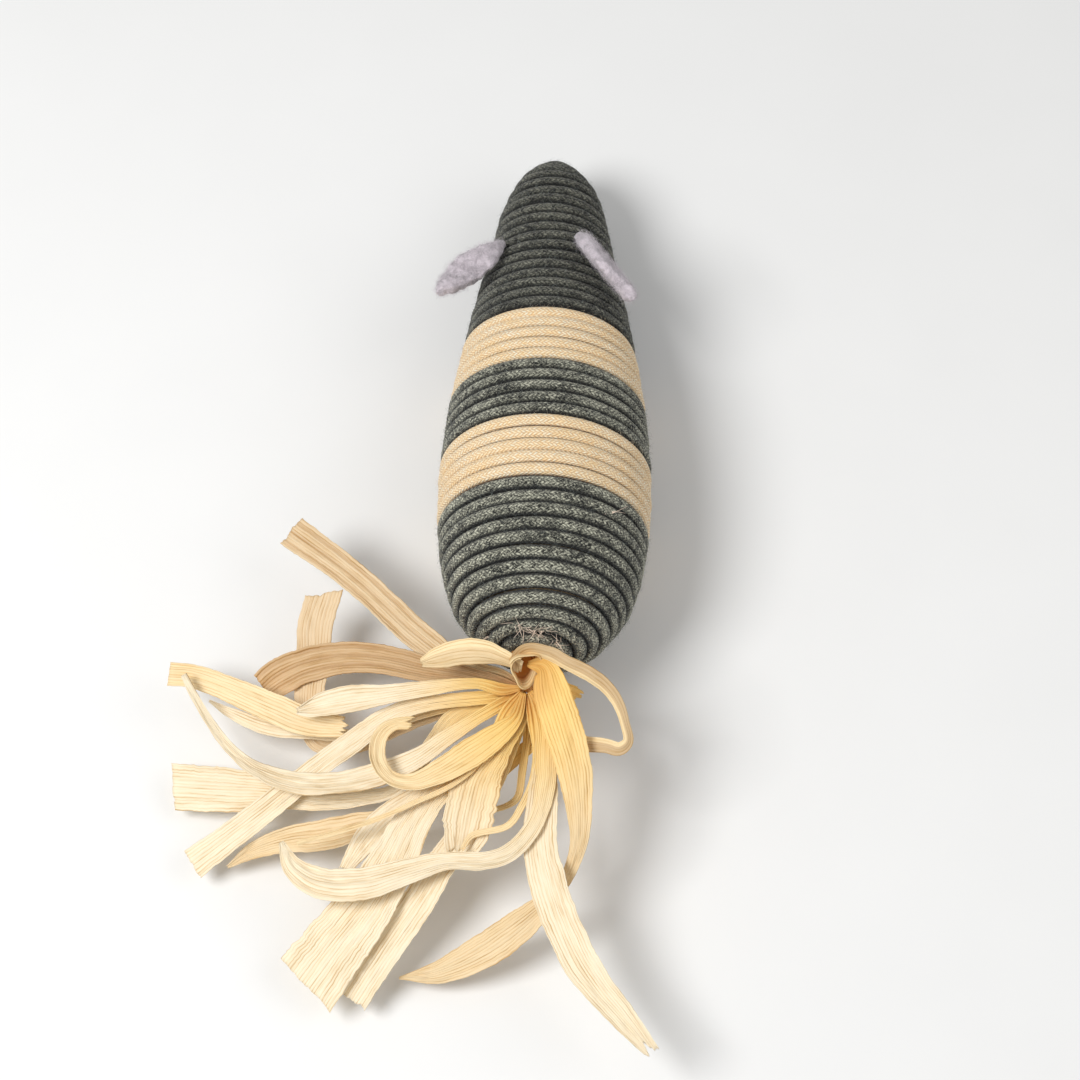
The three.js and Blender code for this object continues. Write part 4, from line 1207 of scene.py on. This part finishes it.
def husk_material(name, husk, shine_through=0.2):
    """Dry husk: fine veins lengthwise, blotches, a satin face, and light that shines through it."""
    nodes = new_material(name)
    x, y = nodes.uv()

    def streak(across, along, detail):
        spot = nodes.add("CombineXYZ", x * across, y * along)
        return nodes.add("TexNoise", Vector=spot, Scale=1.0, Detail=detail, Roughness=0.6)
    mean = (streak(1.9, 0.04, 2.0) + streak(4.6, 0.10, 3.0)) * 0.5
    blotch = streak(0.35, 0.12, 3.0)
    shifted = x / (husk.vein_pitch / MM) + streak(0.8, 0.09, 1.0) * 1.2
    between = (shifted * pi).of("SINE").of("ABSOLUTE")
    lines = (between ** 0.6 - 0.72) * (streak(0.9, 0.07, 2.0) * 0.34)
    gain = nodes.ramp(mean * 0.65 + blotch * 0.35 + lines, (0.35, (0.68, 0.53, 0.33, 1)),
                      (0.46, (0.94, 0.89, 0.8, 1)), (0.55, (1, 1, 1, 1)))
    colour = nodes.blended(1.0, nodes.add("VertexColor", layer_name="tint"), gain, "MULTIPLY")
    bump = nodes.add("Bump", Strength=0.8, Distance=0.2 * MM, Height=mean + streak(5.0, 2.2, 2.0) * 0.2)
    face = nodes.shader(colour, nodes.mixed(blotch, 0.36, 0.6), Specular_IOR_Level=0.45, Normal=bump)
    through = nodes.add("BsdfTranslucent", Color=colour, Normal=bump)
    return nodes.finished(nodes.add("MixShader", shine_through, face, through))


class MOUSE_OT_fan_husks(bpy.types.Operator):
    """Tears the husk strips and fans them out from the knot"""
    bl_idname = "mouse.fan_husks"
    bl_label = "Fan out the husks"

    def execute(self, context):
        husk = context.scene.mouse_husk
        material = husk_material("Corn husk", husk)
        for index, (name, torn) in enumerate(husk_strips.items()):
            seed = 20 + 7 * index
            fan, shape = torn["fan"], dict(torn["shape"])
            route = strip_route(torn["shares"], torn["layer"], shape.pop("leans", ()),
                                shape.pop("heights", ()), fan_lift[fan])
            spots = led_to_knot(route, shape.pop("start", None))
            places, uv, painted_rib_shade = strip_grid(spots, torn["end"], husk, seed, **shape)
            # The tint is darkened by the painted shade in the rib valleys
            tint = husk_tint(husk, torn["tone"], places, seed) * (1 - painted_rib_shade * rib_shade_strength)
            made = husk_sheet("torn_" + name, places, uv, tint, husk, material)
            hand_over(made, fan + "_fan", name)
        self.fold(husk, material)
        return {"FINISHED"}

    def fold(self, husk, material):
        """The longest strip runs out edge-on, folds over and comes back lower."""
        lift = fan_lift["left"]
        out = led_to_knot(strip_route(folded_out_shares, 7, folded_out_leans, lift=lift))
        back = strip_route(folded_back_shares, 5, lift=lift)
        parts = []
        for spots, end, seed, cup, tone, tint_seed in ((out, "point", 211, 0.5, "pale", 3),
                                                       (back, "torn", 212, 0.3, "golden", 4)):
            places, uv, _ = strip_grid(spots, end, husk, seed, cup)
            tint = husk_tint(husk, tone, places, tint_seed)
            parts.append(husk_sheet("torn_husk_long_fold", places, uv, tint, husk, material))
        hand_over(joined("torn_husk_long_fold", parts), "left_fan", "husk_long_fold")


# Knot

pivot_in_tuft = np.array([1.17, 5.06, -1.42])
stem_shares = [
    (-0.505, 0.2), (-0.465, 1.1), (-0.37, 1.9), (-0.22, 2.45), (0, 2.72), (0.22, 2.75), (0.45, 2.6),
    (0.67, 2.2), (0.89, 1.6), (1, 1.2),
]
knot_profile = [
    (0.2, -4.9), (0.7, -4.85), (0.8, -4.5), (0.7, -4.0), (0.66, 0), (0.66, 3.4), (0.62, 3.7), (0.45, 3.9),
    (0.2, 3.95),
]
roll_middle = np.array([0.2, 2.3, 6.0])
roll_radius = 2.35
roll_bottom = -2.6
roll_lip = 1.35
roll_dip = 2.1
roll_start = 115
roll_turn = 400
roll_floor_share = 0.3
roll_corner_share = 0.13
roll_growth_shares = (0.93, 1.1)
roll_oval_share = 1.12
roll_open_at = 20
tie_layers = 1.2
roll_run = 9
roll_depth = 3.6
core_fold_share = 0.09
core_round = 14
stem_fold_share = 0.05
stem_round = 17
# An arm's side shade is how strongly painted shade darkens one long side of it
tie_arms = {
    "left": dict(crease=(0.2, 0.3, 0.2), side_shade=0.45, seed=401, shares=[
        (-18, -55, 35), (-60, -75, 45), (-105, -88, 58), (-156, -88, 60), (-207, -77, 52), (-251, -63, 20)],
        heights=(6.2, 6.2, 6.0, 5.7, 5.4, 5.1),
        leans=(-60, -45, -30, -22, -18, -10)),
    "right": dict(crease=(-0.35, 0.7, 0.15), side_shade=0.95, seed=402, shares=[
        (-30, -45, 30), (-30, -75, 34), (-3, -94, 36), (41, -87, 36), (84, -65, 37), (135, -40, 37),
        (175, -10, 33), (203, 29, 26), (218, 72, 22), (226, 112, 25), (206, 130, 30), (171, 122, 34),
        (120, 118, 37)],
        heights=(6.4, 6.8, 7.2, 7.4, 7.3, 7.0, 6.5, 6.0, 5.4, 4.8, 4.4, 4.2, 4.2),
        leans=(75, 70, 55, 40, 35, 28, 20, 8, -10, -25, -15, 0, 0)),
}


class MOUSE_OT_tie_knot(bpy.types.Operator):
    """Gathers the husks at the knot, and ties them with one more strip, rolled over at the front"""
    bl_idname = "mouse.tie_knot"
    bl_label = "Tie the knot"

    def execute(self, context):
        husk = context.scene.mouse_husk
        gathered = husk_material("Gathered husk", husk, 0.1)
        parts = [self.core(husk, gathered), self.stem(husk, gathered)]
        hand_over(joined("gathered_husk", parts), "tail_neck", "husk_neck")
        thin = husk_material("Tie husk", husk)
        arms = [self.arm("tie_arm_" + side, husk, thin, **shape) for side, shape in tie_arms.items()]
        tied = joined("tied_husk", [self.roll(husk, thin), *arms])
        hand_over(tied, "tail_neck", "husk_tie")
        return {"FINISHED"}

    def core(self, husk, material):
        """The husks' gathered ends, seen through the roll, all in the painted shade colour of the knot."""
        angle, folds = pleated(72, 9, 31)
        rings = []
        for radius, height in evenly(knot_profile, 60)[0]:
            skin = radius * (1 + core_fold_share * folds)
            rings.append(np.stack(
                [skin * np.cos(angle), skin * np.sin(angle), height + 0.06 * folds], axis=1))
        return husk_bundle("gathered_husk", tuft_to_world(rings), core_round, husk.knot_shade, material)

    def stem(self, husk, material):
        """The roots that run from the body's pole to the knot."""
        angle, folds = pleated(60, 11, 32)
        length = np.linalg.norm(pivot_in_tuft)
        way = -pivot_in_tuft / length
        first = np.cross(way, [0, 0, 1.0])
        first /= np.linalg.norm(first)
        round_way = np.outer(np.cos(angle), first) + np.outer(np.sin(angle), np.cross(way, first))
        rings = []
        for along, radius in evenly([(along * length, radius) for along, radius in stem_shares], 36)[0]:
            skin = radius * (1 + stem_fold_share * folds * min(max(along + 1, 0), 1))
            rings.append(pivot_in_tuft + way * along + round_way * skin[:, None])
        # Tan mixed with the painted shade colour of the knot
        tint = toned(husk.tan, husk.knot_shade, 0.2)
        return husk_bundle("husk_stem", tuft_to_world(rings), stem_round, tint, material)

    def roll(self, husk, material):
        """The tie's rolled mouth, a three-cornered tube that opens towards the viewer."""
        axis_world = view_back + 0.25 * view_right - 0.35 * view_up
        axis = tuft_turn.T @ (axis_world / np.linalg.norm(axis_world))
        first = tuft_turn.T @ view_right
        first -= axis * (first @ axis)
        first /= np.linalg.norm(first)
        second = np.cross(axis, first)
        rows, columns = 90, 26
        turn = np.linspace(radians(roll_start), radians(roll_start + roll_turn), rows)
        line = np.linspace(0, roll_run, rows)
        corner = 1 + roll_corner_share * np.cos(3 * (turn + pi / 2)) + 0.03 * wander(line, 41, 1.1)
        radius = roll_radius * corner * np.linspace(*roll_growth_shares, rows)
        open_side = np.maximum(np.cos(turn + radians(roll_open_at)), 0) ** 1.5
        lip = roll_lip + 0.25 * wander(line, 43, 1.4) - roll_dip * open_side
        places, uv = np.zeros((rows, columns, 3)), np.zeros((rows, columns, 2))
        for k, share in enumerate(np.linspace(0.02, 1, columns)):
            wall = max(share - roll_floor_share, 0) / (1 - roll_floor_share)
            height = roll_bottom + (lip - roll_bottom) * wall
            out = radius * (0.86 * min(share / roll_floor_share, 1) + 0.2 * wall ** 2)
            out = out + 0.03 * cos(tau * wall * 6)
            places[:, k] = (roll_middle + np.outer(out * np.cos(turn), first)
                            + np.outer(roll_oval_share * out * np.sin(turn), second)
                            + np.outer(height, axis))
            uv[:, k] = np.stack([np.full(rows, share * roll_depth), turn * roll_radius], axis=1)
        # Painted shade inside the roll, deepest at its bottom
        deep = (1 - ease(np.linspace(-0.1, 1.1, columns)))[None, :, None]
        tint = np.tile(toned(husk.golden, husk.pale, 0.55), (rows, columns, 1))
        tint = toned(tint, husk.knot_shade, deep)
        return husk_sheet("tie_roll", places, uv, tint, husk, material, tie_layers)

    def arm(self, name, husk, material, shares, heights, leans, crease, side_shade, seed):
        """One free arm of the tie, creased lengthwise, with painted shade along one long side."""
        spots = []
        for (right, away, width), height, lean in zip(np.array(shares) / 1000, heights, leans):
            a, b = on_layer(right * tuft_reach, away * tuft_reach, height)
            spots.append((a, b, height, width * tuft_reach, radians(lean)))
        places, uv, _ = strip_grid(spots, "cut", husk, seed, cup=0.2, crease=crease, wave=0.2, gathered=False)
        rows, columns = places.shape[:2]
        # Painted shade along one long side of the arm
        shaded_side = ease((np.linspace(-1, 1, columns) + 0.4) / 0.2)[None, :, None] * side_shade
        shade_tone = np.array(husk.tan) * [0.8, 0.74, 0.64, 1]
        tint = np.broadcast_to(toned(toned(husk.golden, husk.pale, 0.6), shade_tone, shaded_side), (rows, columns, 4))
        return husk_sheet(name, places, uv, tint, husk, material, tie_layers)


# Insides

def weave_material(name, colour):
    """Loose muslin: warp and weft threads, uneven in tone."""
    nodes = new_material(name)
    warp, weft = ((way * (pi / 0.42)).of("SINE").of("ABSOLUTE") for way in nodes.uv())
    weave = warp.of("MAXIMUM", weft)
    tone = nodes.dimmed(weave * 0.5 + nodes.noise(400.0, 4.0) * 0.5, colour, 0.6, 0.3, 0.7)
    return nodes.finished(nodes.shader(tone, 0.9, (weave, 0.6, 0.1), Specular_IOR_Level=0.2))


def card_material(name, colour):
    """Pressed card: short fibres in every direction."""
    nodes = new_material(name)
    fibres = nodes.noise(1100.0, 5.0, Distortion=3.0)
    tone = nodes.dimmed(fibres * 0.6 + nodes.noise(120.0) * 0.4, colour, 0.55, 0.35, 0.65)
    return nodes.finished(nodes.shader(tone, 0.85, (fibres, 0.4, 0.08), Specular_IOR_Level=0.2))


def plastic_material(name, colour, roughness):
    """Moulded plastic: faint flow marks, and a skin that is smoother in places."""
    nodes = new_material(name)
    flow = nodes.noise(180.0, 3.0, Distortion=1.0)
    return nodes.finished(nodes.shader(
        nodes.dimmed(flow, colour, 0.86, 0.35, 0.65), nodes.mixed(flow, roughness * 0.8, roughness * 1.2),
        (nodes.noise(2500.0), 0.12, 0.03)))


def rounded_rows(stations, margin, rows, rounding):
    """Distances along a turned node, how far each is from its nearer end, and its rounding there."""
    distances = np.linspace(stations[0] + margin, stations[-1] - margin, rows)
    from_end = np.minimum(distances - distances[0], distances[-1] - distances)
    return distances, from_end, np.sqrt(1 - (1 - np.clip(from_end / rounding, 0, 1)) ** 2)


class MOUSE_OT_fill_body(bpy.types.Operator):
    """Fills the body: the stuffed catnip pouch, the lashed husk roots, and finishes for core and rattle"""
    bl_idname = "mouse.fill_body"
    bl_label = "Fill the body"

    # The pouch
    end_room = 0.15
    end_round = 3.2
    room = 0.35
    gather_height = 0.3
    gather_length = 6
    dimple = 0.12
    seam_height = 0.3
    pouch_round = 66
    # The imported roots
    root_end_room = 0.05
    root_end_round = 0.5
    root_room = 0.18
    root_fold_share = 0.045
    root_round = 19
    # The thread round the roots
    thread_relief = 0.02
    thread_strands = 4
    thread_pitch = 0.5
    thread_step = 0.3
    thread_sides = 8

    def execute(self, context):
        self.pouch()
        self.roots(context.scene.mouse_husk)
        self.binding(context.scene.mouse_cord)
        card = card_material("Pressed card", linear(176, 150, 116))
        plastic = plastic_material("Moulded capsule", linear(232, 232, 226), 0.5)
        glossy = plastic_material("Glossy ball", linear(206, 66, 48), 0.18)
        finishes = {"core_nose_shell": card, "core_rear_shell": card, "rattle_capsule_body": plastic,
                    "rattle_capsule_cap": plastic, "rattle_ball": glossy}
        for name, finish in finishes.items():
            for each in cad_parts[name].material_slots:
                each.material = finish
        return {"FINISHED"}

    def pouch(self):
        """A muslin bag, full and crowned, gathered at both ends and sewn up one side."""
        stations, radius = node_profile("catnip_pouch")
        distances, from_end, rounded = rounded_rows(stations, self.end_room, 90, self.end_round)
        reach = np.interp(distances, stations, radius) - self.room
        angle, gathers = pleated(84, 13, 51)
        seam = np.exp(-((angle - pi / 2) / 0.05) ** 2)
        rings = []
        for distance, out, swell, end in zip(distances, reach, rounded, from_end):
            folds = self.gather_height * gathers * (1 - ease(end / self.gather_length))
            dimples = self.dimple * wander(angle * 6 + distance, 53, 2.0)
            skin = np.maximum((out - 0.2 + folds + dimples + self.seam_height * seam) * max(swell, 0.03), 0.2)
            rings.append(turned(angle, skin, distance))
        bag = piece("stuffed_pouch", tube_mesh("stuffed_pouch", body_to_world(rings), self.pouch_round),
                    weave_material("Muslin", linear(226, 214, 188)))
        hand_over(bag, "mouse_body", "catnip_pouch")

    def roots(self, husk):
        """The husks' roots, packed side by side in the tail socket."""
        stations, radius = node_profile("tail_root")
        angle, folds = pleated(64, 12, 61)
        distances, _, blunt = rounded_rows(stations, self.root_end_room, 30, self.root_end_round)
        skin = (radius.max() - self.root_room) * (1 + self.root_fold_share * folds)
        rings = [turned(angle, skin * (0.75 + 0.25 * end), distance)
                 for distance, end in zip(distances, blunt)]
        # Tan mixed with the painted shade colour of the knot
        tint = toned(husk.tan, husk.knot_shade, 0.3)
        packed = husk_bundle("packed_roots", body_to_world(rings), self.root_round, tint,
                             husk_material("Packed husk", husk, 0.1))
        hand_over(packed, "mouse_body", "tail_root")

    def binding(self, cord):
        """Thread wound round the roots from end to end."""
        stations, radius = node_profile("tail_binding")
        first, last = stations[0] + thread_width / 2, stations[-1] - thread_width / 2
        turns = np.linspace(0, (last - first) / thread_width, int((last - first) / thread_width * 40))
        places = turned(tau * turns, radius.max() - thread_depth / 2, first + turns * thread_width)
        line = line_mesh("thread", body_to_world(places), body_direction(turned(tau * turns, 1, 0)))
        wound = run_tree(
            "thread_binding", line, cord_tree(), Width=thread_width * MM, Thickness=thread_depth * MM,
            Relief=self.thread_relief * MM, Strands=self.thread_strands,
            Strand_Pitch=self.thread_pitch * MM, Step=self.thread_step * MM, Sides=self.thread_sides,
            # The binding thread's gap and seam colours are painted shade between its turns and strands
            Cord=cord_material("Binding thread", cord.cream_dark, cord.cream_light, linear(120, 90, 55),
                               linear(180, 140, 90)))
        drop_attributes(wound.data, "outward", "centre", "around", "along")
        hand_over(wound, "mouse_body", "tail_binding")


# Stage

class MOUSE_OT_set_stage(bpy.types.Operator):
    """Lays the pale floor, hangs the lamps and sets the camera at the photograph's angle"""
    bl_idname = "mouse.set_stage"
    bl_label = "Set the stage"

    camera_far = 594.6
    lens = 116.65
    aim_right = -0.52
    aim_up = -23.47
    floor_width = 4000
    lamps = {
        "Key lamp": ((-290, -170, 480), 260, "key"),
        "Fill lamp": ((360, -60, 440), 420, "fill"),
    }

    def execute(self, context):
        stage, collection = context.scene.mouse_stage, context.scene.collection
        half = self.floor_width / 2
        corners = [(-half, -half, 0), (half, -half, 0), (half, half, 0), (-half, half, 0)]
        floor = piece("floor", mesh_from("floor", corners, [(0, 1, 2, 3)]), self.paper(stage.floor))
        for name, (place, size, power) in self.lamps.items():
            lamp = bpy.data.lights.new(name, "AREA")
            lamp.shape = "DISK"
            lamp.size = size * MM
            lamp.energy = getattr(stage, power)
            holder = bpy.data.objects.new(name, lamp)
            holder.location = Vector(place) * MM
            aim = Vector(body_middle * MM) - holder.location
            holder.rotation_euler = aim.to_track_quat("-Z", "Y").to_euler()
            collection.objects.link(holder)
        world = bpy.data.worlds.new("Even light")
        world.use_nodes = True
        even = world.node_tree.nodes["Background"].inputs
        even["Color"].default_value = (1, 1, 1, 1)
        even["Strength"].default_value = stage.sky
        context.scene.world = world
        context.scene.view_settings.view_transform = "Standard"
        self.camera(context.scene)
        return {"FINISHED"}

    def paper(self, colour):
        """A matt floor that stays plain and pale where the camera sees it."""
        nodes = new_material("Pale floor")
        tone = nodes.dimmed(nodes.noise(40.0), colour, 0.985, 0.3, 0.7)
        return nodes.finished(nodes.shader(tone, 0.9, Specular_IOR_Level=0.1))

    def camera(self, scene):
        right, up, back = (Vector(v) for v in (view_right, view_up, view_back))
        aim = Vector(body_middle) + right * self.aim_right + up * self.aim_up
        lean = Matrix.Rotation(look_lean, 3, back)
        camera = bpy.data.objects.new("Camera", bpy.data.cameras.new("Camera"))
        camera.data.lens = self.lens
        camera.data.sensor_width = 36
        camera.data.clip_end = 10
        facing = Matrix((lean @ right, lean @ up, back)).transposed()
        camera.matrix_world = Matrix.Translation((aim + back * self.camera_far) * MM) @ facing.to_4x4()
        scene.collection.objects.link(camera)
        scene.camera = camera


class MOUSE_PT_panel(bpy.types.Panel):
    """Lists the steps of making the mouse"""
    bl_label = "Catnip mouse"
    bl_idname = "MOUSE_PT_panel"
    bl_space_type = "VIEW_3D"
    bl_region_type = "UI"
    bl_category = "Mouse"

    def draw(self, context):
        for operator in operators:
            self.layout.operator(operator.bl_idname)


settings = {
    "mouse_cord": MouseCordSettings,
    "mouse_felt": MouseFeltSettings,
    "mouse_husk": MouseHuskSettings,
    "mouse_stage": MouseStageSettings,
}
operators = [
    MOUSE_OT_set_stage, MOUSE_OT_wind_cords, MOUSE_OT_cut_ears, MOUSE_OT_fan_husks, MOUSE_OT_tie_knot,
    MOUSE_OT_fill_body,
]


def register():
    for kind in [*settings.values(), *operators, MOUSE_PT_panel]:
        bpy.utils.register_class(kind)
    for name, kind in settings.items():
        setattr(bpy.types.Scene, name, bpy.props.PointerProperty(type=kind))


def unregister():
    for name in settings:
        delattr(bpy.types.Scene, name)
    for kind in reversed([*settings.values(), *operators, MOUSE_PT_panel]):
        bpy.utils.unregister_class(kind)


def main():
    register()
    bpy.ops.mouse.set_stage()
    bpy.ops.mouse.wind_cords()
    bpy.ops.mouse.cut_ears()
    bpy.ops.mouse.fan_husks()
    bpy.ops.mouse.tie_knot()
    bpy.ops.mouse.fill_body()


if __name__ == "__main__":
    main()
